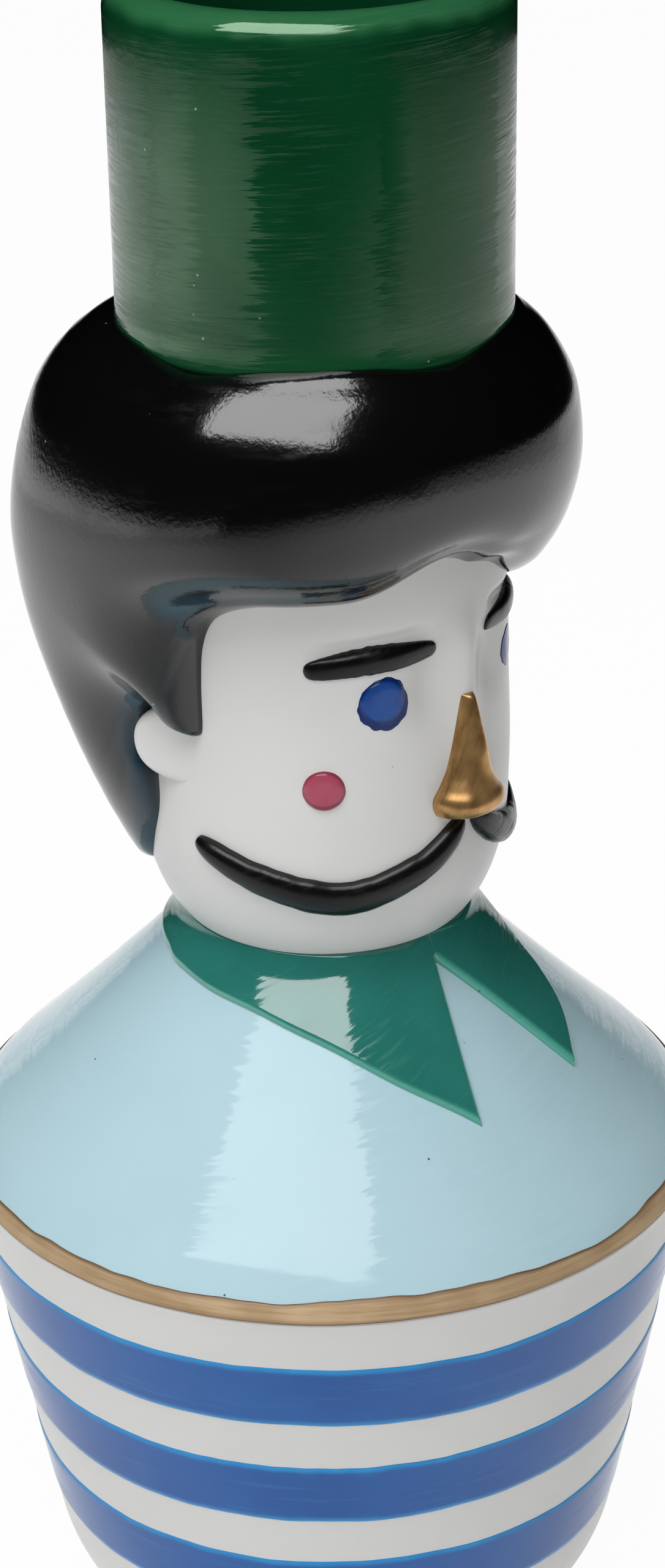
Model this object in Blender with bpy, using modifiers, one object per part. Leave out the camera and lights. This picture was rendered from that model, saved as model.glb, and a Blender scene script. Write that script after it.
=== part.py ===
"""Figural flower vase: a moustached man in a tall hat, cast in hollow sections and luted together.

Metres, +Z up. The vase stands on its foot ring, with the origin at the foot's centre, and the face looks
along -Y. The hat is the vase's mouth: hat, head, shoulders and body are open to each other all the way down
to the floor. Each relief piece is bedded on its section across the same thin slip seam.
"""

import math

import bmesh
import bpy
from mathutils import Vector
from mathutils.geometry import intersect_point_line

MM = 0.001

# Seams and modelling resolution
SEAM = 0.3 * MM
TURN_STEPS = 48
MERGE = 0.00002
CUTTER_MARGIN = 20 * MM
BASE_ROUND_POINTS = 6
FILLET_POINTS = 4
LIP_POINTS = 5
JAW_STEPS = 6
SLOPE_STEPS = 6
STROKE_POINTS = 13
STROKE_ROUNDING = 2
NOSE_STEPS = 20
NOSE_TIP_POINTS = 8
NOSE_BRIDGE_POINTS = 3
EAR_RIM_TURNS = range(150, -1, -30)
DOT_FACETS = (16, 8)
EAR_FACETS = (16, 10)
BOWL_FACETS = (12, 8)

# Names
VASE = "figural_vase"
CUTTERS = "cutters"
STRIPE_NAMES = ("stripe_upper", "stripe_middle", "stripe_lower")
SIDES = ((-1, "right"), (1, "left"))

# Body: the tapered striped cup
CUP_HEIGHT = 80 * MM
CUP_RADIUS = 55 * MM
CUP_NARROWING = 14.6 * MM
CUP_WALL = 4.5 * MM
CUP_FLOOR = 6 * MM
FLOOR_FILLET = 11 * MM
BASE_ROUND_RADIUS = 24 * MM
BASE_ROUND_TURN = math.radians(66)
FOOT_RING_WIDTH = 6 * MM
FOOT_RECESS = 1.5 * MM

# Enamel stripes, bedded in shallow channels round the cup
STRIPE_COUNT = 3
STRIPE_FIRST_DROP = 8.9 * MM
STRIPE_PITCH = 18.95 * MM
STRIPE_WIDTH = 11 * MM
ENAMEL_BED = 0.9 * MM
ENAMEL_PROUD = 0.25 * MM

# Shoulder yoke, which drops into the cup's rim on a spigot. Its slope is slightly hollow
YOKE_HEIGHT = 36.2 * MM
YOKE_WALL = 4.5 * MM
YOKE_EDGE_HEIGHT = 0.4 * MM
YOKE_SAG = 1 * MM
YOKE_SPIGOT_DEPTH = 5 * MM
YOKE_SPIGOT_WALL = 3 * MM
NECK_RADIUS = 19.8 * MM

# Gold lustre band over the shoulder edge
GOLD_WIDTH = 2.4 * MM
GOLD_PROUD = 0.3 * MM

# Head: a hollow shell with a tenon at the neck and a crown that takes the hat
HEAD_RADIUS = 26.2 * MM
HEAD_WALL = 4 * MM
HEAD_HEIGHT = 88.2 * MM
JAW_HEIGHT = 18.5 * MM
JAW_RADIUS = 20.4 * MM
CROWN_RISE = 66 * MM
CROWN_SLOPE_HEIGHT = 4 * MM
CROWN_RADIUS = 24 * MM
NECK_TENON_RADIUS = 17 * MM
NECK_TENON_DEPTH = 7 * MM
NECK_BORE_RADIUS = 13 * MM

# Hat: the vase's mouth
HAT_HEIGHT = 44.7 * MM
HAT_RADIUS = 26.8 * MM
HAT_BORE_RADIUS = 21.5 * MM
HAT_LIP_OUTER_ROUND = 3.6 * MM
HAT_LIP_INNER_ROUND = 1.4 * MM
HAT_TENON_RADIUS = 20.5 * MM
HAT_TENON_DEPTH = 7 * MM
HAT_TENON_WALL = 3 * MM

# Hair: round sections, by drop below the hat, shift behind the axis and spread past the head
HAIR_SEGMENTS = 48
HAIR_RINGS = 26
HAIR_RING_CROWDING = 1.3
HAIR_TOP_LEDGE = 0.5 * MM
HAIR_EDGE = 2.5 * MM
HAIR_EDGE_ROUND = 12 * MM
HAIR_ROWS = (
    (1 * MM, 0.8 * MM, 4 * MM),
    (4 * MM, 1.5 * MM, 7.1 * MM),
    (8 * MM, 2 * MM, 9.8 * MM),
    (12 * MM, 2.4 * MM, 11.4 * MM),
    (20 * MM, 3.7 * MM, 12.7 * MM),
    (28 * MM, 5.4 * MM, 12.6 * MM),
    (36 * MM, 7 * MM, 11.2 * MM),
    (44 * MM, 7.5 * MM, 9.7 * MM),
    (52 * MM, 7.5 * MM, 7.6 * MM),
    (60 * MM, 6.5 * MM, 5.5 * MM),
    (68 * MM, 5 * MM, 3.1 * MM),
    (76 * MM, 2.8 * MM, 0.9 * MM),
    (84 * MM, 1 * MM, -0.6 * MM),
)

# Hairline, seen from the side: heights above the neck, and distances behind (+) or before (-) the head's axis
HAIRLINE_RISE = 58.6 * MM
HAIRLINE_DIP_RISE = 56.7 * MM
HAIRLINE_DIP_FRONT = -17 * MM
TEMPLE_RISE = 54.5 * MM
TEMPLE_ROUND = 4.5 * MM
SIDEBURN_FRONT = -1.8 * MM
SIDEBURN_RISE = 35.1 * MM
NAPE_FRONT = 8.5 * MM
NAPE_TURN_RISE = 20 * MM
NAPE_BACK = 19 * MM
NAPE_RISE = 8.5 * MM

# Ears: distances behind the axis and heights above the neck, leaning back a little
EAR_BACK = 4 * MM
EAR_RISE = 32.8 * MM
EAR_WIDTH = 8.6 * MM
EAR_HEIGHT = 11.2 * MM
EAR_DEPTH = 9 * MM
EAR_OUTSET = 0.6 * MM
EAR_LEAN = math.radians(15)
EAR_CLEARANCE = 0.6 * MM
EAR_BOWL_SHARE = 0.55

# Face relief: angles from the front (the figure's right side is negative X), heights above the neck
NOSE_RISE = 28.2 * MM
NOSE_RADIUS = 5.2 * MM
NOSE_LENGTH = 12.3 * MM
NOSE_BRIDGE_RADIUS = 0.9 * MM
NOSE_TIP_START = math.radians(15)
BROW_ANGLES = (math.radians(13), math.radians(53))
BROW_RISES = (48.4 * MM, 46.8 * MM)
BROW_ARCH = 0.5 * MM
BROW_RADIUS = 1.6 * MM
RIGHT_EYE_ANGLE = math.radians(-30)
RIGHT_EYE_RADIUS = 3.4 * MM
LEFT_EYE_ANGLE = math.radians(33.5)
LEFT_EYE_RADIUS = 2.6 * MM
EYE_RISE = 41.9 * MM
RIGHT_CHEEK_ANGLE = math.radians(-48)
LEFT_CHEEK_ANGLE = math.radians(56)
CHEEK_RISE = 29.8 * MM
CHEEK_RADIUS = 2.9 * MM
DOT_RELIEF = 0.7 * MM
MOUSTACHE_PATH = (
    (math.radians(3), 20.4 * MM),
    (math.radians(20), 15.9 * MM),
    (math.radians(42), 13 * MM),
    (math.radians(66), 15.4 * MM),
    (math.radians(90), 19.8 * MM),
)
MOUSTACHE_RADIUS = 2.4 * MM
TIP_SHARE = 0.4
STROKE_SINK = 0.5 * MM

# Collar: a band round the neck with two lapels. A reach is measured outwards from the neck, seen from above
COLLAR_THICKNESS = 1.2 * MM
COLLAR_STAND = 2.2 * MM
COLLAR_ROLL = 0.6 * MM
COLLAR_BAND_REACH = 3.9 * MM
COLLAR_NOTCH_ANGLE = math.radians(-4.4)
COLLAR_GAP_ANGLE = math.radians(0.7)
COLLAR_BAND_STEP = math.radians(15)
LAPEL_TIP_REACH = 19 * MM
RIGHT_LAPEL_TIP_ANGLE = math.radians(-15)
RIGHT_LAPEL_EDGE = (
    (math.radians(-32), 12.9 * MM),
    (math.radians(-54), 7.4 * MM),
    (math.radians(-72), 4.9 * MM),
)
LEFT_LAPEL_TIP_ANGLE = math.radians(16.8)
LEFT_LAPEL_EDGE = (
    (math.radians(29), 14.8 * MM),
    (math.radians(37.5), 10.8 * MM),
    (math.radians(44), 6.6 * MM),
)

# Heights that follow from the sections stacked on each other
NECK_Z = CUP_HEIGHT + SEAM + YOKE_HEIGHT
HEAD_Z = NECK_Z + SEAM
HEAD_TOP_Z = HEAD_Z + HEAD_HEIGHT
HAT_Z = HEAD_TOP_Z + SEAM
CUP_TAPER = CUP_NARROWING / CUP_HEIGHT

# Finishes: name, colour, roughness and metallic value
WHITE_GLAZE = ("white_glaze", (0.80, 0.80, 0.79), 0.18, 0.0)
SKY_GLAZE = ("sky_glaze", (0.50, 0.70, 0.76), 0.12, 0.0)
COBALT_ENAMEL = ("cobalt_enamel", (0.05, 0.13, 0.42), 0.2, 0.0)
GOLD_LUSTRE = ("gold_lustre", (0.50, 0.30, 0.13), 0.35, 0.9)
TEAL_GLAZE = ("teal_glaze", (0.03, 0.20, 0.14), 0.12, 0.0)
BLACK_GLAZE = ("black_glaze", (0.006, 0.006, 0.007), 0.12, 0.0)
HAT_GLAZE = ("hat_glaze", (0.005, 0.09, 0.035), 0.14, 0.0)
ROSE_ENAMEL = ("rose_enamel", (0.45, 0.07, 0.12), 0.25, 0.0)


def clear_scene():
    """Removes every object of the scene."""
    for obj in list(bpy.data.objects):
        bpy.data.objects.remove(obj)


def new_collection(name):
    """Empty collection in the scene."""
    collection = bpy.data.collections.new(name)
    bpy.context.scene.collection.children.link(collection)
    return collection


def material_of(finish):
    """Principled material for a finish, made once and shared."""
    name, colour, roughness, metallic = finish
    material = bpy.data.materials.get(name)
    if material is None:
        material = bpy.data.materials.new(name)
        material.use_nodes = True
        shader = material.node_tree.nodes["Principled BSDF"]
        shader.inputs["Base Color"].default_value = (*colour, 1.0)
        shader.inputs["Roughness"].default_value = roughness
        shader.inputs["Metallic"].default_value = metallic
    return material


def add_piece(name, mesh, finish):
    """Object in the vase's collection, shaded smooth, in its own finish."""
    piece = bpy.data.objects.new(name, mesh)
    piece.data.materials.append(material_of(finish))
    mesh.shade_smooth()
    bpy.data.collections[VASE].objects.link(piece)
    return piece


def add_cutter(name, mesh):
    """Helper object that only shapes other pieces."""
    cutter = bpy.data.objects.new(name, mesh)
    cutter.hide_render = True
    cutter.display_type = "WIRE"
    bpy.data.collections[CUTTERS].objects.link(cutter)
    return cutter


def mesh_of(name, bm):
    """Mesh with the shape of an editing mesh, which is freed."""
    mesh = bpy.data.meshes.new(name)
    bm.to_mesh(mesh)
    bm.free()
    return mesh


def profile_mesh(name, points, closed):
    """Chain of edges in the XZ plane from (radius, height) points."""
    bm = bmesh.new()
    verts = [bm.verts.new((radius, 0.0, height)) for radius, height in points]
    for first, second in zip(verts, verts[1:]):
        bm.edges.new((first, second))
    if closed:
        bm.edges.new((verts[-1], verts[0]))
    return mesh_of(name, bm)


def turn(obj, steps=TURN_STEPS):
    """Turns a profile about Z. The profile runs down its outer side."""
    screw = obj.modifiers.new("turn", "SCREW")
    screw.axis = "Z"
    screw.angle = 2 * math.pi
    screw.steps = steps
    screw.render_steps = steps
    screw.use_merge_vertices = True
    screw.merge_threshold = MERGE
    screw.use_smooth_shade = True


def boolean(obj, cutter, operation):
    """Cuts an object by another, or keeps what they share."""
    modifier = obj.modifiers.new(cutter.name, "BOOLEAN")
    modifier.operation = operation
    modifier.solver = "EXACT"
    modifier.object = cutter


def prism_mesh(name, outline, thickness):
    """Closed flat outline in XY, filled and extruded by half the thickness to each side."""
    curve = bpy.data.curves.new(name, "CURVE")
    curve.dimensions = "2D"
    curve.fill_mode = "BOTH"
    curve.extrude = thickness / 2
    spline = curve.splines.new("POLY")
    spline.points.add(len(outline) - 1)
    for point, (x, y) in zip(spline.points, outline):
        point.co = (x, y, 0.0, 1.0)
    spline.use_cyclic_u = True
    return baked_curve(name, curve)


def tube_mesh(name, points, radii):
    """Round tube along points, with its own radius at each and capped ends."""
    curve = bpy.data.curves.new(name, "CURVE")
    curve.dimensions = "3D"
    curve.bevel_depth = 1.0
    curve.bevel_resolution = STROKE_ROUNDING
    curve.use_fill_caps = True
    spline = curve.splines.new("POLY")
    spline.points.add(len(points) - 1)
    for point, place, radius in zip(spline.points, points, radii):
        point.co = (*place, 1.0)
        point.radius = radius
    return baked_curve(name, curve)


def baked_curve(name, curve):
    """Mesh of an evaluated curve with its caps welded on, ready for a Boolean."""
    guide = bpy.data.objects.new(name + "_guide", curve)
    bpy.context.scene.collection.objects.link(guide)
    graph = bpy.context.evaluated_depsgraph_get()
    mesh = bpy.data.meshes.new_from_object(guide.evaluated_get(graph))
    bpy.data.objects.remove(guide)
    bm = bmesh.new()
    bm.from_mesh(mesh)
    bmesh.ops.remove_doubles(bm, verts=bm.verts, dist=MERGE)
    bmesh.ops.recalc_face_normals(bm, faces=bm.faces)
    bm.to_mesh(mesh)
    bm.free()
    mesh.name = name
    return mesh


def arc(centre, radius, start, end, count):
    """Points on a circle about centre, from one angle to another."""
    angles = [start + (end - start) * i / (count - 1) for i in range(count)]
    return [(centre[0] + radius * math.cos(a), centre[1] + radius * math.sin(a)) for a in angles]


def eased(rows, where):
    """Values at a place in a table of rows (place, values...), joined by smooth Catmull-Rom spans."""
    last = len(rows) - 2
    span = next((i for i in range(last) if where <= rows[i + 1][0]), last)
    before, start, end, after = (rows[min(max(i, 0), len(rows) - 1)] for i in range(span - 1, span + 3))
    t = (where - start[0]) / (end[0] - start[0])
    values = []
    for column in range(1, len(start)):
        p0, p1, p2, p3 = before[column], start[column], end[column], after[column]
        bend = (2 * p0 - 5 * p1 + 4 * p2 - p3) * t * t + (3 * (p1 - p2) + p3 - p0) * t ** 3
        values.append(p1 + 0.5 * ((p2 - p0) * t + bend))
    return values


def cup_radius(height):
    """Outer radius of the cup's straight wall."""
    return CUP_RADIUS - CUP_TAPER * (CUP_HEIGHT - height)


def stripe_span(index):
    """Top and bottom heights of a stripe's channel."""
    top = CUP_HEIGHT - STRIPE_FIRST_DROP - STRIPE_PITCH * index
    return top, top - STRIPE_WIDTH


def head_radius(height):
    """Outer radius of the head: jaw, straight sides, then the narrower crown under the hat."""
    rise = height - HEAD_Z
    if rise < JAW_HEIGHT:
        return JAW_RADIUS + (HEAD_RADIUS - JAW_RADIUS) * math.sin(max(rise, 0.0) / JAW_HEIGHT * math.pi / 2)
    slope = min(max((rise - CROWN_RISE) / CROWN_SLOPE_HEIGHT, 0.0), 1.0)
    return HEAD_RADIUS + (CROWN_RADIUS - HEAD_RADIUS) * slope


def head_outline():
    """Outer (radius, height) points of the head, top to bottom."""
    jaw = [HEAD_Z + JAW_HEIGHT * i / JAW_STEPS for i in range(JAW_STEPS, -1, -1)]
    crown = [HEAD_TOP_Z, HEAD_Z + CROWN_RISE + CROWN_SLOPE_HEIGHT, HEAD_Z + CROWN_RISE]
    return [(head_radius(z), z) for z in crown + jaw]


def on_head(angle, height, lift):
    """Point over the head's surface at an angle from the front."""
    radius = head_radius(height) + lift
    return Vector((radius * math.sin(angle), -radius * math.cos(angle), height))


def shoulder_point(reach, lift):
    """(radius, height) over the yoke's slope, at a reach outwards from the neck."""
    run = CUP_RADIUS - NECK_RADIUS
    fall = YOKE_HEIGHT - YOKE_EDGE_HEIGHT
    share = reach / run
    height = NECK_Z - fall * share - 4 * YOKE_SAG * share * (1 - share)
    gradient = -(fall + 4 * YOKE_SAG * (1 - 2 * share)) / run
    length = math.hypot(1.0, gradient)
    return NECK_RADIUS + reach - lift * gradient / length, height + lift / length


def make_cup():
    """Striped cup with its floor, foot ring, stripe channels and open rim."""
    tilt = math.atan(CUP_TAPER)
    turn_start = BASE_ROUND_RADIUS * (math.sin(BASE_ROUND_TURN) - math.sin(tilt))
    centre = (
        cup_radius(turn_start) - BASE_ROUND_RADIUS * math.cos(tilt),
        turn_start + BASE_ROUND_RADIUS * math.sin(tilt),
    )
    base = arc(centre, BASE_ROUND_RADIUS, -tilt, -BASE_ROUND_TURN, BASE_ROUND_POINTS)
    foot = base[-1][0]
    inner_turn = CUP_FLOOR + FLOOR_FILLET
    inner_radius = cup_radius(inner_turn) - CUP_WALL
    fillet_centre = (inner_radius - FLOOR_FILLET, inner_turn)
    floor = arc(fillet_centre, FLOOR_FILLET, -math.pi / 2, 0.0, FILLET_POINTS)
    outer = [(CUP_RADIUS, CUP_HEIGHT)]
    for index in range(STRIPE_COUNT):
        top, bottom = stripe_span(index)
        outer += [(cup_radius(top), top), (cup_radius(top) - ENAMEL_BED, top)]
        outer += [(cup_radius(bottom) - ENAMEL_BED, bottom), (cup_radius(bottom), bottom)]
    profile = [(0.0, CUP_FLOOR), *floor, (CUP_RADIUS - CUP_WALL, CUP_HEIGHT), *outer, *base]
    inside_foot = foot - FOOT_RING_WIDTH
    profile += [(inside_foot, 0.0), (inside_foot - FOOT_RECESS, FOOT_RECESS), (0.0, FOOT_RECESS)]
    turn(add_piece("body_cup", profile_mesh("body_cup", profile, False), WHITE_GLAZE))


def make_stripes():
    """Enamel bands lying in the cup's channels."""
    for index, name in zip(range(STRIPE_COUNT), STRIPE_NAMES):
        top, bottom = (edge - side * SEAM for edge, side in zip(stripe_span(index), (1, -1)))
        bed = SEAM - ENAMEL_BED
        section = [(cup_radius(top) + bed, top), (cup_radius(top) + ENAMEL_PROUD, top)]
        section += [(cup_radius(bottom) + ENAMEL_PROUD, bottom), (cup_radius(bottom) + bed, bottom)]
        turn(add_piece(name, profile_mesh(name, section, True), COBALT_ENAMEL))


def make_yoke():
    """Shoulder cone with a neck bore, a spigot down into the cup, and an edge cut back for the gold band."""
    run = CUP_RADIUS - NECK_RADIUS
    seat = CUP_HEIGHT + SEAM
    edge_reach = run - GOLD_WIDTH - SEAM
    spigot_outer = CUP_RADIUS - CUP_WALL - CUP_TAPER * YOKE_SPIGOT_DEPTH - SEAM
    spigot_inner = spigot_outer - YOKE_SPIGOT_WALL
    spigot_foot = seat - YOKE_SPIGOT_DEPTH
    bore = NECK_TENON_RADIUS + SEAM
    slope = [shoulder_point(edge_reach * i / SLOPE_STEPS, 0.0) for i in range(SLOPE_STEPS + 1)]
    under = [shoulder_point(run * i / SLOPE_STEPS, -YOKE_WALL) for i in range(SLOPE_STEPS - 1, 0, -1)]
    under = [point for point in under if bore < point[0] < spigot_inner]
    profile = [(bore, NECK_Z), *slope, (slope[-1][0], seat)]
    profile += [(spigot_outer, seat), (spigot_outer, spigot_foot), (spigot_inner, spigot_foot)]
    profile += [(spigot_inner, seat), *under, (bore, NECK_Z - NECK_TENON_DEPTH)]
    turn(add_piece("shoulder_yoke", profile_mesh("shoulder_yoke", profile, True), SKY_GLAZE))


def make_gold_band():
    """Lustre band that fills the yoke's cut-back edge and stands just proud of the slope."""
    run = CUP_RADIUS - NECK_RADIUS
    seat = CUP_HEIGHT + SEAM
    inner = CUP_RADIUS - GOLD_WIDTH
    upper = shoulder_point(run - GOLD_WIDTH, GOLD_PROUD)
    lower = shoulder_point(run, GOLD_PROUD)
    section = [(inner, upper[1]), upper, lower, (lower[0], seat), (inner, seat)]
    turn(add_piece("gold_band", profile_mesh("gold_band", section, True), GOLD_LUSTRE))


def make_head():
    """Hollow head, open at the neck tenon below and at the crown above."""
    cavity = HEAD_RADIUS - HEAD_WALL
    crown_bore = HAT_TENON_RADIUS + SEAM
    crown_ceiling = HEAD_TOP_Z - HAT_TENON_DEPTH - HEAD_WALL
    tenon_foot = HEAD_Z - NECK_TENON_DEPTH + SEAM
    profile = [(NECK_BORE_RADIUS, tenon_foot), (NECK_BORE_RADIUS, HEAD_Z + HEAD_WALL)]
    profile += [(cavity, HEAD_Z + JAW_HEIGHT), (cavity, HEAD_Z + CROWN_RISE - HEAD_WALL)]
    profile += [(crown_bore, crown_ceiling), (crown_bore, HEAD_TOP_Z), *head_outline()]
    profile += [(NECK_TENON_RADIUS, HEAD_Z), (NECK_TENON_RADIUS, tenon_foot)]
    turn(add_piece("head_shell", profile_mesh("head_shell", profile, True), WHITE_GLAZE))


def make_head_cutter():
    """Head's outside grown by one seam: what every relief piece is bedded against."""
    outline = [(radius + SEAM, height) for radius, height in head_outline()]
    top = HEAD_TOP_Z + CUTTER_MARGIN
    bottom = HEAD_Z - CUTTER_MARGIN
    profile = [(0.0, top), (outline[0][0], top), *outline, (outline[-1][0], bottom), (0.0, bottom)]
    cutter = add_cutter("head_seat", profile_mesh("head_seat", profile, False))
    turn(cutter)
    return cutter


def make_hat():
    """Hat cylinder with a rounded lip, a straight bore and a tenon that drops into the crown."""
    top = HAT_Z + HAT_HEIGHT
    inner_lip = (HAT_BORE_RADIUS + HAT_LIP_INNER_ROUND, top - HAT_LIP_INNER_ROUND)
    outer_lip = (HAT_RADIUS - HAT_LIP_OUTER_ROUND, top - HAT_LIP_OUTER_ROUND)
    profile = [(HAT_TENON_RADIUS - HAT_TENON_WALL, HAT_Z - HAT_TENON_DEPTH)]
    profile += [(HAT_TENON_RADIUS - HAT_TENON_WALL, HAT_Z), (HAT_BORE_RADIUS, HAT_Z + HAT_TENON_WALL)]
    profile += arc(inner_lip, HAT_LIP_INNER_ROUND, math.pi, math.pi / 2, FILLET_POINTS)
    profile += arc(outer_lip, HAT_LIP_OUTER_ROUND, math.pi / 2, 0.0, LIP_POINTS)
    profile += [(HAT_RADIUS, HAT_Z), (HAT_TENON_RADIUS, HAT_Z), (HAT_TENON_RADIUS, HAT_Z - HAT_TENON_DEPTH)]
    turn(add_piece("hat_neck", profile_mesh("hat_neck", profile, True), HAT_GLAZE))


def ear_point(angle, growth):
    """Side view (distance behind the axis, height) of the ear's grown rim, from the back over the top."""
    across = (EAR_WIDTH / 2 + growth) * math.cos(angle)
    along = (EAR_HEIGHT / 2 + growth) * math.sin(angle)
    y = EAR_BACK + across * math.cos(EAR_LEAN) + along * math.sin(EAR_LEAN)
    return y, NECK_Z + EAR_RISE - across * math.sin(EAR_LEAN) + along * math.cos(EAR_LEAN)


def hairline():
    """Side view of the hair's edge: brow, temple, down the sideburn and round the ear to the nape."""
    far = HEAD_RADIUS + 2 * CUTTER_MARGIN
    temple = NECK_Z + TEMPLE_RISE
    corner_centre = (SIDEBURN_FRONT - TEMPLE_ROUND, temple - TEMPLE_ROUND)
    corner = arc(corner_centre, TEMPLE_ROUND, math.pi / 2, 0.0, FILLET_POINTS)
    return [
        (-far, NECK_Z + HAIRLINE_RISE),
        (-HEAD_RADIUS, NECK_Z + HAIRLINE_RISE),
        (HAIRLINE_DIP_FRONT, NECK_Z + HAIRLINE_DIP_RISE),
        *corner,
        (SIDEBURN_FRONT, NECK_Z + SIDEBURN_RISE),
        *(ear_point(math.radians(turned), EAR_CLEARANCE) for turned in EAR_RIM_TURNS),
        (NAPE_FRONT, NECK_Z + NAPE_TURN_RISE),
        (NAPE_BACK, NECK_Z + NAPE_RISE),
        (far, NECK_Z + NAPE_RISE),
    ]


def bare_outline():
    """Side view of everything the hair leaves bare."""
    edge = hairline()
    floor = NECK_Z - CUTTER_MARGIN
    return [*edge, (edge[-1][0], floor), (edge[0][0], floor)]


def depth_in_hair(y, z, edge, bare):
    """How far a side-view point lies inside the hair from its edge, or zero on the bare head."""
    crossings = 0
    for (y0, z0), (y1, z1) in zip(bare, bare[1:] + bare[:1]):
        if (z0 > z) != (z1 > z) and y < y0 + (z - z0) * (y1 - y0) / (z1 - z0):
            crossings += 1
    if crossings % 2:
        return 0.0
    here = Vector((y, z))
    nearest = math.inf
    for start, end in zip(edge, edge[1:]):
        share = intersect_point_line(here, Vector(start), Vector(end))[1]
        spot = Vector(start).lerp(Vector(end), min(max(share, 0.0), 1.0))
        nearest = min(nearest, (here - spot).length)
    return nearest


def hair_ring(drop, edge, bare):
    """Points of the hair's section at a drop below the hat, thinned towards the hairline."""
    height = HEAD_TOP_Z - drop
    head = head_radius(height)
    shift, spread = eased(((0.0, 0.0, HAT_RADIUS + HAIR_TOP_LEDGE - HEAD_RADIUS), *HAIR_ROWS), drop)
    reach = HEAD_RADIUS + spread
    points = []
    for index in range(HAIR_SEGMENTS):
        angle = 2 * math.pi * index / HAIR_SEGMENTS
        full = math.sqrt(reach ** 2 - (shift * math.sin(angle)) ** 2) - shift * math.cos(angle) - head
        depth = depth_in_hair(-head * math.cos(angle), height, edge, bare)
        share = min(depth / HAIR_EDGE_ROUND, 1.0)
        thin = min(full, HAIR_EDGE)
        radius = head + thin + (full - thin) * math.sin(share * math.pi / 2)
        points.append((radius * math.sin(angle), -radius * math.cos(angle), height))
    return points


def make_hair(head_seat):
    """Hair lofted between its sections, hollowed by the head and trimmed along the hairline."""
    bm = bmesh.new()
    edge = hairline()
    bare = bare_outline()
    lowest = HAIR_ROWS[-1][0]
    loops = []
    for index in range(HAIR_RINGS):
        drop = lowest * (index / (HAIR_RINGS - 1)) ** HAIR_RING_CROWDING
        verts = [bm.verts.new(point) for point in hair_ring(drop, edge, bare)]
        loops.append([bm.edges.new((a, b)) for a, b in zip(verts, verts[1:] + verts[:1])])
    for upper, lower in zip(loops, loops[1:]):
        bmesh.ops.bridge_loops(bm, edges=upper + lower)
    bmesh.ops.holes_fill(bm, edges=loops[0] + loops[-1], sides=HAIR_SEGMENTS)
    bmesh.ops.recalc_face_normals(bm, faces=bm.faces)
    hair = add_piece("hair_cap", mesh_of("hair_cap", bm), BLACK_GLAZE)
    boolean(hair, head_seat, "DIFFERENCE")
    width = 2 * (HEAD_RADIUS + 2 * CUTTER_MARGIN)
    trim = add_cutter("hairline_trim", prism_mesh("hairline_trim", bare, width))
    trim.rotation_euler = (math.pi / 2, 0.0, math.pi / 2)
    boolean(hair, trim, "DIFFERENCE")


def stroke(name, rows, radius, finish, head_seat):
    """Tapered brush-stroke of clay along (angle, height) rows, bedded on the head."""
    places = []
    radii = []
    for index in range(STROKE_POINTS):
        share = index / (STROKE_POINTS - 1)
        where = rows[0][0] + (rows[-1][0] - rows[0][0]) * share
        angle, height = eased(rows, where)
        places.append(on_head(angle, height, SEAM - STROKE_SINK))
        radii.append(radius * (TIP_SHARE + (1 - TIP_SHARE) * math.sqrt(max(math.sin(math.pi * share), 0.0))))
    piece = add_piece(name, tube_mesh(name, places, radii), finish)
    boolean(piece, head_seat, "DIFFERENCE")


def make_moustache(head_seat):
    """Two long strokes that sweep from under the nose across the cheeks."""
    for side, name in SIDES:
        rows = [(angle, side * angle, NECK_Z + rise) for angle, rise in MOUSTACHE_PATH]
        stroke("moustache_" + name, rows, MOUSTACHE_RADIUS, BLACK_GLAZE, head_seat)


def make_brows(head_seat):
    """Straight eyebrows with the least arch."""
    (inner, outer), (inner_rise, outer_rise) = BROW_ANGLES, BROW_RISES
    middle_rise = (inner_rise + outer_rise) / 2 + BROW_ARCH
    for side, name in SIDES:
        rows = [
            (0.0, side * inner, NECK_Z + inner_rise),
            (0.5, side * (inner + outer) / 2, NECK_Z + middle_rise),
            (1.0, side * outer, NECK_Z + outer_rise),
        ]
        stroke("brow_" + name, rows, BROW_RADIUS, BLACK_GLAZE, head_seat)


def ball_mesh(name, facets):
    """Ball of radius 1 with so many facets round it and from pole to pole."""
    segments, rings = facets
    bm = bmesh.new()
    bmesh.ops.create_uvsphere(bm, u_segments=segments, v_segments=rings, radius=1.0)
    return mesh_of(name, bm)


def make_dot(name, angle, rise, radius, finish, head_seat):
    """Raised round bead of enamel on the face."""
    mesh = ball_mesh(name, DOT_FACETS)
    place = on_head(angle, NECK_Z + rise, SEAM)
    for vert in mesh.vertices:
        across, out, up = vert.co.x * radius, -vert.co.y * DOT_RELIEF, vert.co.z * radius
        spot = on_head(angle + across / HEAD_RADIUS, place.z + up, SEAM + out)
        vert.co = spot
    dot = add_piece(name, mesh, finish)
    boolean(dot, head_seat, "DIFFERENCE")


def make_dots(head_seat):
    """Eyes and cheeks, which the painter set a little further back on the left."""
    make_dot("eye_right", RIGHT_EYE_ANGLE, EYE_RISE, RIGHT_EYE_RADIUS, COBALT_ENAMEL, head_seat)
    make_dot("eye_left", LEFT_EYE_ANGLE, EYE_RISE, LEFT_EYE_RADIUS, COBALT_ENAMEL, head_seat)
    make_dot("cheek_right", RIGHT_CHEEK_ANGLE, CHEEK_RISE, CHEEK_RADIUS, ROSE_ENAMEL, head_seat)
    make_dot("cheek_left", LEFT_CHEEK_ANGLE, CHEEK_RISE, CHEEK_RADIUS, ROSE_ENAMEL, head_seat)


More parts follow.
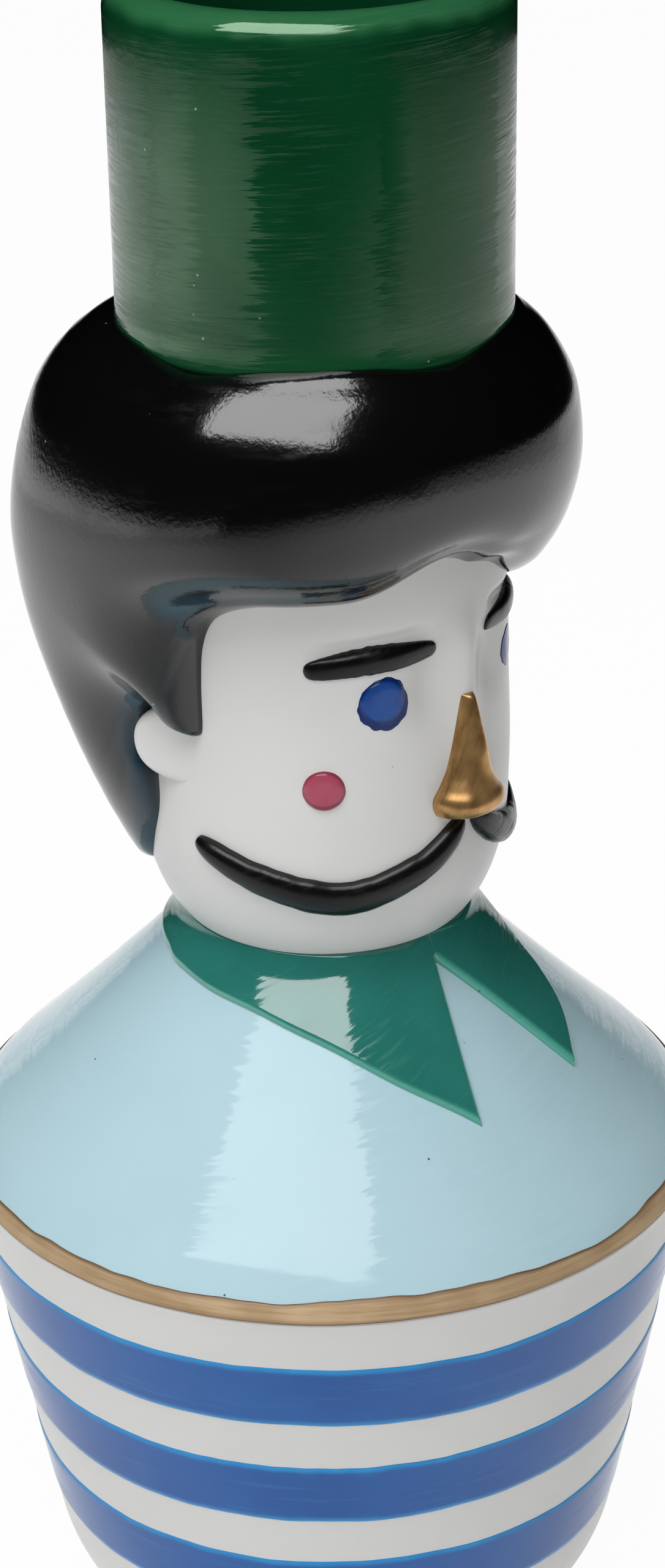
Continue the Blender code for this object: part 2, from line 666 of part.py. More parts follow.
def make_nose(head_seat):
    """Teardrop of a nose, narrow at the bridge and round at the tip, bedded on the face."""
    tip = arc((0.0, 0.0), NOSE_RADIUS, NOSE_TIP_START, -math.pi / 2, NOSE_TIP_POINTS)
    bridge_centre = (0.0, NOSE_LENGTH - NOSE_BRIDGE_RADIUS)
    bridge = arc(bridge_centre, NOSE_BRIDGE_RADIUS, math.pi / 2, 0.0, NOSE_BRIDGE_POINTS)
    profile = [(max(radius, 0.0), height) for radius, height in bridge + tip]
    nose = add_piece("nose", profile_mesh("nose", profile, False), GOLD_LUSTRE)
    nose.location = (0.0, -HEAD_RADIUS, NECK_Z + NOSE_RISE)
    turn(nose, NOSE_STEPS)
    boolean(nose, head_seat, "DIFFERENCE")


def make_ears(head_seat):
    """Ears pressed on behind the sideburns, each with a shallow bowl in its outer face."""
    size = Vector((EAR_DEPTH, EAR_WIDTH, EAR_HEIGHT)) / 2
    for side, name in SIDES:
        place = (side * (HEAD_RADIUS + EAR_OUTSET), EAR_BACK, NECK_Z + EAR_RISE)
        ear = add_piece("ear_" + name, ball_mesh("ear_" + name, EAR_FACETS), WHITE_GLAZE)
        bowl = add_cutter("ear_bowl_" + name, ball_mesh("ear_bowl_" + name, BOWL_FACETS))
        ear.scale = size
        bowl.scale = size * EAR_BOWL_SHARE
        for ball, outset in ((ear, 0.0), (bowl, side * size.x)):
            ball.location = Vector(place) + Vector((outset, 0.0, 0.0))
            ball.rotation_euler.x = -EAR_LEAN
        boolean(ear, head_seat, "DIFFERENCE")
        boolean(ear, bowl, "DIFFERENCE")


def plan(angle, reach):
    """Point seen from above, at an angle from the front and a reach outwards from the neck."""
    radius = NECK_RADIUS + reach
    return radius * math.sin(angle), -radius * math.cos(angle)


def lapel_outline(side, tip_angle, edge):
    """Plan of one collar half: notch, lapel tip, outer edge, band to the back, and back inside the neck."""
    notch = COLLAR_NOTCH_ANGLE + side * COLLAR_GAP_ANGLE
    back = side * (math.pi - COLLAR_GAP_ANGLE)
    inside = -NECK_RADIUS / 2
    outline = [plan(notch, inside), plan(notch, COLLAR_STAND), plan(tip_angle, LAPEL_TIP_REACH)]
    outline += [plan(angle, reach) for angle, reach in edge]
    last = edge[-1][0]
    steps = max(1, round(abs(back - last) / COLLAR_BAND_STEP))
    sweep = [last + (back - last) * i / steps for i in range(1, steps + 1)]
    outline += [plan(angle, COLLAR_BAND_REACH) for angle in sweep]
    outline += [plan(angle, inside) for angle in reversed(sweep)]
    return outline


def make_collar():
    """Two lapels cut from one layer that stands against the jaw and then follows the shoulders' slope."""
    top = NECK_Z + COLLAR_STAND
    inner = head_radius(top) + SEAM
    first = inner - NECK_RADIUS
    last = LAPEL_TIP_REACH + COLLAR_THICKNESS
    reaches = [first + (last - first) * i / SLOPE_STEPS for i in range(SLOPE_STEPS + 1)]
    over = [shoulder_point(reach, SEAM + COLLAR_THICKNESS) for reach in reaches[1:]]
    under = [shoulder_point(reach, SEAM) for reach in reversed(reaches)]
    section = [(inner, top), (inner + COLLAR_ROLL, top), *over, *under]
    halves = (
        (-1, "right", RIGHT_LAPEL_TIP_ANGLE, RIGHT_LAPEL_EDGE),
        (1, "left", LEFT_LAPEL_TIP_ANGLE, LEFT_LAPEL_EDGE),
    )
    for side, name, tip_angle, edge in halves:
        collar = add_piece("collar_" + name, profile_mesh("collar_" + name, section, True), TEAL_GLAZE)
        turn(collar)
        outline = lapel_outline(side, tip_angle, edge)
        shape = add_cutter("collar_plan_" + name, prism_mesh("collar_plan_" + name, outline, 2 * YOKE_HEIGHT))
        shape.location.z = NECK_Z - YOKE_HEIGHT / 2
        boolean(collar, shape, "INTERSECT")


def main():
    """Builds the vase from its foot to its hat, then the relief on its head."""
    clear_scene()
    new_collection(VASE)
    new_collection(CUTTERS)
    make_cup()
    make_stripes()
    make_yoke()
    make_gold_band()
    make_head()
    make_hat()
    make_collar()
    head_seat = make_head_cutter()
    make_hair(head_seat)
    make_ears(head_seat)
    make_nose(head_seat)
    make_brows(head_seat)
    make_dots(head_seat)
    make_moustache(head_seat)


main()
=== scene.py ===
"""Looks of a glazed figural flower vase: closed shells of glaze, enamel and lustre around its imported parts.

Metres, +Z up. The figure looks along -Y and its left side is at +X. Angles round the figure are taken from
the front, towards its left, and rises are heights above the seam between shoulders and neck.
"""

import logging
import math
from collections.abc import Callable, Sequence
from dataclasses import dataclass, field
from enum import Enum

import bmesh
import bpy
import numpy as np
from mathutils import Matrix, Vector, noise

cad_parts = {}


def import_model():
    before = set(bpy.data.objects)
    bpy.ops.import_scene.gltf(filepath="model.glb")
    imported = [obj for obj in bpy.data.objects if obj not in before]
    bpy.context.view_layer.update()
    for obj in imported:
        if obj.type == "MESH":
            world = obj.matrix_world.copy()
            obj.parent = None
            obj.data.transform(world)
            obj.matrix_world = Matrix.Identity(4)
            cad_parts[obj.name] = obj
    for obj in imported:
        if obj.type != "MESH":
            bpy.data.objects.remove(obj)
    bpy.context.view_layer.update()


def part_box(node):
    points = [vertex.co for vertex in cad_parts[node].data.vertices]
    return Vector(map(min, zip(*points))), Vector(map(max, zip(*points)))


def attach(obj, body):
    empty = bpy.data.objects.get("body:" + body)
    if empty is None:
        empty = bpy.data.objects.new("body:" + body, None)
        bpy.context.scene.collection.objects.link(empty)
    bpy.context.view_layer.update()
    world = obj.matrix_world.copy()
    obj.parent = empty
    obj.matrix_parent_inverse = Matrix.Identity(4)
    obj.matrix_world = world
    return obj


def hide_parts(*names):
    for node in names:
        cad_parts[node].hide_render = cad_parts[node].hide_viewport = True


MM = 0.001
SEAM = 0.3 * MM
WELD = 0.0005 * MM
BODY = "root"
RIM = "rim"
AROUND = 240
EVENING_STEP = 0.8
TURN = 2 * math.pi
UP = (0.0, 0.0, 1.0)
WHITE_LIGHT = (1.0, 1.0, 1.0, 1.0)
BLACK = (0.0, 0.0, 0.0, 1.0)
LAMP_POWER = 4.0
SPECK_EDGE = (0.05, 0.09)
SPECK_STEP = 0.01

Grid = np.ndarray
Pair = tuple[float, float]
Triple = tuple[float, float, float]
Colour = Triple
Settings = dict[str, object]
Looks = dict["Paint", bpy.types.Material]

log = logging.getLogger("figural_vase")


class Side(Enum):
    """The figure's own two sides, by the sign of X."""

    RIGHT = -1
    LEFT = 1

    @property
    def word(self) -> str:
        """The side in lower case, as part names have it."""
        return self.name.lower()


class Paint(Enum):
    """Finishes by name, each with the record's material slot that it goes under."""

    WHITE = ("white glaze", "white_glaze")
    SKY = ("sky glaze", "sky_glaze")
    COBALT = ("cobalt enamel", "cobalt_enamel")
    IRIS = ("iris enamel", "cobalt_enamel")
    GILT = ("gilt edge", "gold_lustre")
    BRONZE = ("gilt nose", "gold_lustre")
    TEAL = ("teal glaze", "teal_glaze")
    BLACK = ("black glaze", "black_glaze")
    INK = ("black enamel", "black_glaze")
    HAT = ("hat glaze", "hat_glaze")
    ROSE = ("rose enamel", "rose_enamel")

    @property
    def label(self) -> str:
        """The material's name."""
        return self.value[0]

    @property
    def slot(self) -> str:
        """The record's slot."""
        return self.value[1]


class Value:
    """One output socket of a material's graph, for use in plain arithmetic."""

    def __init__(self, graph: "Graph", socket: bpy.types.NodeSocket) -> None:
        """Wraps a socket of the graph."""
        self.graph = graph
        self.socket = socket

    def math(self, operation: str, first: "Value | float", second: "Value | float") -> "Value":
        """Adds a Math node for one operation on two values."""
        return self.graph.node("ShaderNodeMath", {"operation": operation}, {0: first, 1: second})

    def __add__(self, other: "Value | float") -> "Value":
        """Sum."""
        return self.math("ADD", self, other)

    __radd__ = __add__

    def __sub__(self, other: "Value | float") -> "Value":
        """Difference."""
        return self.math("SUBTRACT", self, other)

    def __rsub__(self, other: "Value | float") -> "Value":
        """Difference from a number."""
        return self.math("SUBTRACT", other, self)

    def __mul__(self, other: "Value | float") -> "Value":
        """Product."""
        return self.math("MULTIPLY", self, other)

    __rmul__ = __mul__

    def step(self, low: float, high: float) -> "Value":
        """Smooth step from 0 at low to 1 at high."""
        sockets = {"Value": self, "From Min": low, "From Max": high}
        return self.graph.node("ShaderNodeMapRange", {"interpolation_type": "SMOOTHSTEP"}, sockets)


class Graph:
    """Node tree of one material or world, emptied and ready to be wired."""

    def __init__(self, owner: bpy.types.Material | bpy.types.World) -> None:
        """Empties the owner's node tree.

        Args:
            owner: The material or world.
        """
        owner.use_nodes = True
        self.tree = owner.node_tree
        self.tree.nodes.clear()

    def node(
        self, kind: str, settings: Settings | None = None, sockets: dict | None = None,
        output: int | str = 0,
    ) -> Value | None:
        """Adds any node.

        Args:
            kind: The node's type.
            settings: Its properties, set first.
            sockets: Values or links for its inputs, by name or number.
            output: The output to hand back.

        Returns:
            The chosen output, if the node has any.
        """
        made = self.tree.nodes.new(kind)
        for key, setting in (settings or {}).items():
            setattr(made, key, setting)
        for key, value in (sockets or {}).items():
            if isinstance(value, Value):
                self.tree.links.new(value.socket, made.inputs[key])
            else:
                made.inputs[key].default_value = value
        return Value(self, made.outputs[output]) if made.outputs else None

    def vector(self, operation: str, sockets: dict) -> Value:
        """Adds a Vector Math node for one operation."""
        return self.node("ShaderNodeVectorMath", {"operation": operation}, sockets)

    def mix(self, share: Value | float, first: "Value | Colour", second: "Value | Colour") -> Value:
        """Colour between two others, of which the second shows by its share."""
        first, second = ((*c, 1.0) if isinstance(c, tuple) else c for c in (first, second))
        return self.node("ShaderNodeMix", {"data_type": "RGBA"}, {0: share, 6: first, 7: second}, 2)

    def place(self) -> Value:
        """Position on the object, in metres."""
        return self.node("ShaderNodeTexCoord", output="Object")

    def cloud(self, size: float) -> Value:
        """Soft noise from 0 to 1 with spots of about a size."""
        sockets = {"Vector": self.place(), "Scale": 1 / size, "Detail": 2.0}
        return self.node("ShaderNodeTexNoise", {}, sockets)

    def strokes(self, brush: "Brush") -> Value:
        """Noise drawn out into brush marks.

        Args:
            brush: Length, width and lean of the marks.

        Returns:
            The marks, from 0 to 1.
        """
        turning = {"Vector": self.place(), "Rotation": brush.lean}
        turned = self.node("ShaderNodeVectorRotate", {"rotation_type": "EULER_XYZ"}, turning)
        stretch = (1 / brush.length, 1 / brush.length, 1 / brush.width)
        drawn = self.vector("MULTIPLY", {0: turned, 1: stretch})
        sockets = {"Vector": drawn, "Scale": 1.0, "Detail": 3.0, "Roughness": 0.65}
        return self.node("ShaderNodeTexNoise", {}, sockets)

    def specks(self, spacing: float, share: float) -> Value:
        """Round specks, one cell in a few.

        Args:
            spacing: Size of a cell.
            share: Share of the cells that hold a speck.

        Returns:
            The specks, from 0 to 1.
        """
        cells = {"Vector": self.place(), "Scale": 1 / spacing}
        near = self.node("ShaderNodeTexVoronoi", {}, cells, "Distance")
        tint = self.node("ShaderNodeTexVoronoi", {}, cells, "Color")
        pick = self.node("ShaderNodeSeparateColor", {}, {0: tint}).step(1 - share, 1 - share + SPECK_STEP)
        return (1 - near.step(*SPECK_EDGE)) * pick

    def rim(self) -> Value:
        """How near a piece's painted edge a point lies, from 0 to 1; on the eye and cheek beads it also
        carries painted shade on their lower side, and on the hat's lip a painted highlight.
        """
        return self.node("ShaderNodeAttribute", {"attribute_name": RIM}, output="Fac")

    def relief(self, height: Value, normal: Value | None = None) -> Value:
        """Normal over a fine relief, whose height is in metres."""
        sockets = {"Strength": 1.0, "Distance": 1.0, "Height": height}
        return self.node("ShaderNodeBump", {}, sockets | ({"Normal": normal} if normal else {}))

    def combed(self, marks: Value, amount: float) -> Value:
        """Normal that leans along the brush, to one side or the other with each mark.

        Args:
            marks: Brush marks from 0 to 1.
            amount: Largest lean, as a slope.

        Returns:
            The normal.
        """
        normal = self.node("ShaderNodeNewGeometry", output="Normal")
        along = self.vector("CROSS_PRODUCT", {0: normal, 1: UP})
        lean = self.vector("SCALE", {0: along, "Scale": (marks - 0.5) * (2 * amount)})
        leant = self.vector("ADD", {0: normal, 1: lean})
        return self.vector("NORMALIZE", {0: leant})

    def finish(self, sockets: dict) -> None:
        """Principled surface with these sockets, linked to the output."""
        surface = self.node("ShaderNodeBsdfPrincipled", {}, sockets)
        self.node("ShaderNodeOutputMaterial", {}, {"Surface": surface})


@dataclass(frozen=True)
class Brush:
    """Marks that a brush leaves: their length, width, lean and depth."""

    length: float = 9 * MM
    width: float = 0.7 * MM
    lean: Triple = (0.0, 0.0, 0.0)
    depth: float = 0.012 * MM


@dataclass(frozen=True)
class Finish:
    """Any fired finish, which wires the sockets of its own surface."""

    def sockets(self, graph: Graph) -> dict:
        """The surface's sockets, left to each kind of finish."""
        raise NotImplementedError

    def material(self, name: str) -> bpy.types.Material:
        """Builds the finish.

        Args:
            name: The material's name.

        Returns:
            The material.
        """
        made = bpy.data.materials.new(name)
        graph = Graph(made)
        graph.finish(self.sockets(graph))
        return made


@dataclass(frozen=True)
class Glaze(Finish):
    """Fired glaze or enamel: even colour, where it pools or runs thin, and how the brush went; its edge
    colour also paints shade under the eye and cheek beads and a highlight on the hat's lip.
    """

    colour: Colour
    pooled: Colour
    edge: Colour
    gloss: float
    shine: float
    brush: Brush = field(default_factory=Brush)
    cloud: float = 14 * MM
    pooling: float = 0.5
    streaking: float = 0.25
    scuff: float = 0.12
    comb: float = 0.0
    tint: Colour = (1.0, 1.0, 1.0)
    specks: float = 0.05
    speck_colour: Colour = (0.10, 0.10, 0.10)
    peel: float = 0.004 * MM
    peel_size: float = 1.2 * MM
    speck_spacing: float = 2.4 * MM
    pool_range: Pair = (0.35, 0.75)
    streak_range: Pair = (0.05, 0.25)
    edge_marks: Pair = (0.7, 0.6)
    worn_strokes: Pair = (0.48, 0.62)
    worn_patches: Pair = (0.38, 0.62)
    brushed_patches: Pair = (0.3, 0.7)
    combed_patches: Pair = (0.2, 0.6)

    def sockets(self, graph: Graph) -> dict:
        """Wires the glaze.

        Args:
            graph: The material's graph.

        Returns:
            The surface's sockets.
        """
        strokes = graph.strokes(self.brush)
        patches = graph.cloud(self.cloud)
        body = graph.mix(patches.step(*self.pool_range) * self.pooling, self.colour, self.pooled)
        body = graph.mix((strokes - 0.5).step(*self.streak_range) * self.streaking, body, self.edge)
        even, marked = self.edge_marks
        # Edge colour along the rim: thin or pooled glaze, painted shade on the beads' lower side and a
        # painted highlight on the hat's lip.
        body = graph.mix(graph.rim() * (even + marked * strokes), body, self.edge)
        body = graph.mix(graph.specks(self.speck_spacing, self.specks), body, self.speck_colour)
        worn = strokes.step(*self.worn_strokes) * patches.step(*self.worn_patches)
        brushed = strokes * patches.step(*self.brushed_patches) * self.brush.depth
        worked = brushed + graph.cloud(self.peel_size) * self.peel
        marks = 0.5 + (strokes - 0.5) * patches.step(*self.combed_patches)
        return {
            "Base Color": body,
            "Roughness": self.gloss + self.scuff * worn,
            "Specular IOR Level": self.shine,
            "Specular Tint": (*self.tint, 1.0),
            "Normal": graph.relief(worked, graph.combed(marks, self.comb)),
        }


@dataclass(frozen=True)
class Lustre(Finish):
    """Brushed gold lustre, thin and matt in places and burnt dark at the edges."""

    bright: Colour
    dull: Colour
    burnt: Colour
    metal: float
    gloss: float
    grain: float
    cloud: float
    brush: Brush
    wear: float = 0.35
    thinning: float = 0.5
    patch_depth: float = 0.02 * MM
    bright_range: Pair = (0.35, 0.65)
    burnt_marks: Pair = (0.4, 1.1)

    def sockets(self, graph: Graph) -> dict:
        """Wires the lustre.

        Args:
            graph: The material's graph.

        Returns:
            The surface's sockets.
        """
        strokes = graph.strokes(self.brush)
        patches = graph.cloud(self.cloud)
        laid = strokes * self.grain + patches * (1 - self.grain)
        body = graph.mix(laid.step(*self.bright_range), self.dull, self.bright)
        even, marked = self.burnt_marks
        body = graph.mix(graph.rim() * (even + marked * strokes), body, self.burnt)
        return {
            "Base Color": body,
            "Metallic": self.metal - self.thinning * self.metal * graph.rim(),
            "Roughness": self.gloss + self.wear * laid * laid,
            "Normal": graph.relief(strokes * self.brush.depth + patches * self.patch_depth),
        }


FINISHES: dict[Paint, Finish] = {
    Paint.WHITE: Glaze(
        (0.685, 0.68, 0.665), (0.655, 0.655, 0.645), (0.635, 0.635, 0.615), 0.28, 0.32,
        Brush(14 * MM, 1.6 * MM, (0.2, 0.1, 0.0), 0.002 * MM), specks=0.02, scuff=0.04, streaking=0.1,
        peel=0.02 * MM, peel_size=4 * MM,
    ),
    Paint.SKY: Glaze(
        (0.425, 0.60, 0.665), (0.395, 0.575, 0.635), (0.46, 0.625, 0.675), 0.06, 0.27,
        Brush(8 * MM, 0.6 * MM, (0.1, 0.1, 0.0), 0.004 * MM), streaking=0.1, scuff=0.12, comb=0.15,
    ),
    Paint.COBALT: Glaze(
        (0.030, 0.118, 0.37), (0.022, 0.085, 0.30), (0.03, 0.27, 0.60), 0.16, 0.32,
        Brush(26 * MM, 0.9 * MM, (0.0, 0.0, 0.0), 0.012 * MM), streaking=0.2,
    ),
    # Iris enamel: its dark edge colour is pooled enamel round the bead and painted shade on its lower side.
    Paint.IRIS: Glaze(
        (0.016, 0.072, 0.29), (0.009, 0.040, 0.20), (0.003, 0.020, 0.12), 0.14, 0.3,
        Brush(3 * MM, 0.6 * MM), cloud=3 * MM, specks=0.0,
    ),
    Paint.TEAL: Glaze(
        (0.024, 0.180, 0.150), (0.012, 0.125, 0.100), (0.08, 0.36, 0.28), 0.06, 0.85,
        Brush(6 * MM, 0.5 * MM, (0.3, 0.3, 0.0), 0.006 * MM), streaking=0.12, scuff=0.15, comb=0.15,
    ),
    Paint.BLACK: Glaze(
        (0.0022, 0.0022, 0.0024), (0.0018, 0.0018, 0.002), (0.003, 0.024, 0.040), 0.12, 0.8,
        Brush(8 * MM, 1.6 * MM, (0.1, 0.1, 0.0), 0.002 * MM), streaking=0.0, scuff=0.08,
        specks=0.08, speck_colour=(0.25, 0.25, 0.25), peel=0.022 * MM, peel_size=0.7 * MM,
    ),
    Paint.INK: Glaze(
        (0.004, 0.004, 0.004), (0.003, 0.003, 0.003), (0.012, 0.012, 0.011), 0.26, 0.4,
        Brush(5 * MM, 0.7 * MM, (0.1, 0.3, 0.0), 0.03 * MM), cloud=5 * MM, streaking=0.3, scuff=0.2,
        peel=0.012 * MM, peel_size=0.9 * MM,
    ),
    # Hat glaze: its lighter edge colour is thin glaze at the lip and hem, and on the lip also a painted
    # highlight.
    Paint.HAT: Glaze(
        (0.0025, 0.046, 0.0155), (0.002, 0.027, 0.010), (0.02, 0.11, 0.043), 0.07, 0.9,
        Brush(9 * MM, 0.4 * MM, (0.05, 0.03, 0.0), 0.006 * MM), streaking=0.15, scuff=0.22, comb=0.32,
        tint=(0.74, 1.0, 0.74), specks=0.05, speck_colour=(0.20, 0.26, 0.22),
    ),
    # Rose enamel: its dark edge colour is pooled enamel round the bead and painted shade on its lower side.
    Paint.ROSE: Glaze(
        (0.40, 0.075, 0.12), (0.34, 0.05, 0.09), (0.24, 0.025, 0.05), 0.15, 0.5,
        Brush(3 * MM, 0.6 * MM), cloud=3 * MM, specks=0.0,
    ),
    Paint.GILT: Lustre(
        (0.57, 0.41, 0.245), (0.42, 0.28, 0.15), (0.15, 0.08, 0.04), 0.3, 0.34, 0.6, 7 * MM,
        Brush(16 * MM, 0.5 * MM, (0.0, 0.0, 0.0), 0.02 * MM),
    ),
    Paint.BRONZE: Lustre(
        (0.62, 0.37, 0.15), (0.38, 0.20, 0.07), (0.14, 0.075, 0.03), 0.75, 0.2, 0.4, 4 * MM,
        Brush(5 * MM, 0.8 * MM, (1.35, 0.2, 0.0), 0.03 * MM),
    ),
}


class Shell:
    """Closed surface made from a grid of points, row by row."""

    def __init__(self, points: Grid, rim: Grid | None = None) -> None:
        """Takes rows of points, and how near the painted edge each lies, from 0 to 1."""
        self.points = points
        self.rim = np.zeros(points.shape[:2]) if rim is None else rim

    @classmethod
    def between(cls, top: Grid, under: Grid, rim: Grid) -> "Shell":
        """Layer between a visible and a hidden face, as one loop of rows that meets itself."""
        return cls(np.concatenate([top, under[::-1]]), np.concatenate([rim, rim[::-1]]))

    @classmethod
    def bead(cls, face: Grid, under: Grid, rim: Grid | None = None) -> "Shell":
        """Raised bead whose rows run out from its crown, closed below by a fan.

        Args:
            face: Visible face.
            under: Row of points below its edge.
            rim: Edge shares of the visible face.

        Returns:
            The bead, closed at both ends of its rows.
        """
        hub = np.broadcast_to(under.mean(axis=1, keepdims=True), under.shape)
        shares = None if rim is None else np.concatenate([rim, rim[-1:], rim[-1:]])
        return cls(np.concatenate([face, under, hub]), shares)

    def mesh(self, name: str, close_rows: bool, close_columns: bool = True) -> bpy.types.Mesh:
        """Welds the grid into one closed mesh.

        Args:
            name: The mesh's name.
            close_rows: Whether the last row joins the first.
            close_columns: Whether the last column joins the first. Open sides are filled.

        Returns:
            The mesh, shaded smooth, with its edge shares.
        """
        rows, columns = self.points.shape[:2]
        bm = bmesh.new()
        layer = bm.verts.layers.float.new(RIM)
        verts = [[bm.verts.new(p) for p in row] for row in self.points]
        for row, shares in zip(verts, self.rim):
            for vert, share in zip(row, shares):
                vert[layer] = share
        for i in range(rows if close_rows else rows - 1):
            for j in range(columns if close_columns else columns - 1):
                k, m = (i + 1) % rows, (j + 1) % columns
                bm.faces.new((verts[i][j], verts[i][m], verts[k][m], verts[k][j]))
        bmesh.ops.remove_doubles(bm, verts=bm.verts, dist=WELD)
        bmesh.ops.holes_fill(bm, edges=[e for e in bm.edges if e.is_boundary])
        bmesh.ops.recalc_face_normals(bm, faces=bm.faces)
        made = bpy.data.meshes.new(name)
        bm.to_mesh(made)
        bm.free()
        made.shade_smooth()
        return made


def flowing(knots: Sequence[Sequence[float]], count: int) -> Grid:
    """Points spaced evenly along a smooth curve.

    Args:
        knots: Points that the curve passes through.
        count: How many points to give.

    Returns:
        The points.
    """
    knots = np.asarray(knots, float)
    ends = np.vstack([2 * knots[0] - knots[1], knots, 2 * knots[-1] - knots[-2]])
    t = np.linspace(0, 1, 24, endpoint=False)[:, None]
    spans = []
    for a, b, c, d in zip(ends, ends[1:], ends[2:], ends[3:]):
        square, cube = 2 * a - 5 * b + 4 * c - d, 3 * (b - c) + d - a
        spans.append(b + 0.5 * ((c - a) * t + square * t ** 2 + cube * t ** 3))
    path = np.vstack([*spans, knots[-1:]])
    run = np.concatenate([[0], np.cumsum(np.linalg.norm(np.diff(path, axis=0), axis=1))])
    even = np.linspace(0, run[-1], count)
    return np.column_stack([np.interp(even, run, column) for column in path.T])


def profile(knots: Sequence[Sequence[float]]) -> Callable[[Grid], Grid]:
    """Smooth function through (place, value) knots in rising order, level beyond both ends."""
    curve = flowing(knots, 400)
    return lambda where: np.interp(where, curve[:, 0], curve[:, 1])


def bump(where: Grid, centre: float, width: float) -> Grid:
    """Bell of height 1 about a centre."""
    return np.exp(-((where - centre) / width) ** 2)


def ease(where: Grid, low: float, high: float) -> Grid:
    """Smooth step from 0 at low to 1 at high."""
    share = np.clip((where - low) / (high - low), 0, 1)
    return share * share * (3 - 2 * share)


def arc(centre: Pair, radius: float, start: float, end: float, count: int = 10) -> list:
    """Points of an arc of a profile, from one angle in degrees to another."""
    turns = np.radians(np.linspace(start, end, count))
    return [(centre[0] + radius * math.cos(a), centre[1] + radius * math.sin(a)) for a in turns]


def wrapped(angle: Grid) -> Grid:
    """Angles from the front in degrees, from -180 to 180."""
    return np.degrees((angle + math.pi) % TURN - math.pi)


def shares_out(edge: float, inner: int, outer: int, start: float) -> Grid:
    """Column of shares of a radius: even steps from 0 up to an edge, and ever closer ones up to 1."""
    close = edge + (1 - edge) * np.sin(np.linspace(start, 1, outer) * math.pi / 2)
    return np.concatenate([np.linspace(0, edge, inner), close])[:, None]


def distance(points: Grid, path: Grid) -> Grid:
    """Shortest distance of flat points to a path.

    Args:
        points: An array whose last axis is the two coordinates.
        path: Corner points of the path.

    Returns:
        The distances.
    """
    nearest = np.full(points.shape[:-1], np.inf)
    for start, end in zip(path, path[1:]):
        run = end - start
        share = np.clip((points - start) @ run / max(run @ run, 1e-18), 0, 1)
        off = points - start - share[..., None] * run
        nearest = np.minimum(nearest, np.linalg.norm(off, axis=-1))
    return nearest


def wander(where: Grid, amount: float, size: float, seed: float) -> Grid:
    """Unsteady line of a hand, as an offset that closes on itself round the vase.

    Args:
        where: Angles round the axis.
        amount: About the largest offset.
        size: Length of a wave as a share of the radius.
        seed: Picks the line.

    Returns:
        The offsets.
    """
    shift = Vector((seed, -seed, 3 * seed))
    spots = [Vector((math.sin(a), math.cos(a), 0.0)) / size + shift for a in where]
    return amount * np.array([noise.noise(p) + 0.5 * noise.noise(2.7 * p) for p in spots])


def smoothed(values: Grid, passes: int) -> Grid:
    """Evens out a grid whose columns close on themselves.

    Args:
        values: Grid of values.
        passes: How many times each value is drawn to its neighbours.

    Returns:
        The evened grid.
    """
    for _ in range(passes):
        padded = np.pad(values, ((1, 1), (0, 0)), mode="edge")
        beside = np.roll(values, 1, axis=1) + np.roll(values, -1, axis=1)
        values = (padded[:-2] + padded[2:] + beside + 4 * values) / 8
    return values


def evened(grid: Grid, turn: Grid, passes: int) -> Grid:
    """Slides the inner points of a flat grid until its cells are even and none folds over another.

    Args:
        grid: Rows of points, whose columns close on themselves after one turn.
        turn: How far one turn runs.
        passes: How many times each point is slid.

    Returns:
        The evened grid.
    """
    grid = grid.copy()
    for _ in range(passes):
        ahead, behind = np.roll(grid, -1, axis=1), np.roll(grid, 1, axis=1)
        ahead[:, -1] += turn
        behind[:, 0] -= turn
        across = (ahead - behind) / 2
        up, along = (grid[2:] - grid[:-2]) / 2, across[1:-1]
        pairs = ((up, up), (along, along), (up, along))
        steep, wide, skew = (np.sum(a * b, axis=-1, keepdims=True) for a, b in pairs)
        pull = steep * (ahead + behind)[1:-1] + wide * (grid[2:] + grid[:-2])
        pull -= skew * (across[2:] - across[:-2])
        grid[1:-1] += EVENING_STEP * (pull / (2 * (steep + wide)) - grid[1:-1])
    return grid


def spun(radii: Grid, heights: Grid, angles: Grid) -> Grid:
    """Points at radii, heights and angles from the front."""
    radii, heights, angles = np.broadcast_arrays(radii, heights, angles)
    return np.stack([radii * np.sin(angles), -radii * np.cos(angles), heights], axis=-1)


def full_turn(count: int = AROUND) -> Grid:
    """Angles of one turn, without its end."""
    return np.linspace(0, TURN, count, endpoint=False)


def placed(name: str, data: bpy.types.ID) -> bpy.types.Object:
    """Adds an object with its data to the scene.

    Args:
        name: The object's name.
        data: Its mesh, lamp or camera.

    Returns:
        The object.
    """
    made = bpy.data.objects.new(name, data)
    bpy.context.scene.collection.objects.link(made)
    return made


def set_down(name: str, mesh: bpy.types.Mesh, paint: Paint, node: str, looks: Looks) -> None:
    """Adds one finished piece in place of the part it stands for.

    Args:
        name: The piece's name.
        mesh: Its closed mesh, in place.
        paint: Its finish.
        node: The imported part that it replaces.
        looks: Materials by paint.
    """
    mesh.materials.append(looks[paint])
    piece = placed(name, mesh)
    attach(piece, BODY)
    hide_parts(node)
    log.info("%s stands for %s with %d faces", name, node, len(mesh.polygons))


@dataclass
class Form:
    """Main sizes of the vase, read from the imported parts."""

    cup_radius: float
    cup_top: float
    neck: float
    head_radius: float
    head_top: float
    hat_radius: float
    hat_top: float

    @classmethod
    def from_frame(cls) -> "Form":
        """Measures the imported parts."""
        cup, head, hat = (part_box(node)[1] for node in ("body_cup", "head_shell", "hat_neck"))
        return cls(cup.x, cup.z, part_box("shoulder_yoke")[1].z, head.x, head.z, hat.x, hat.z)


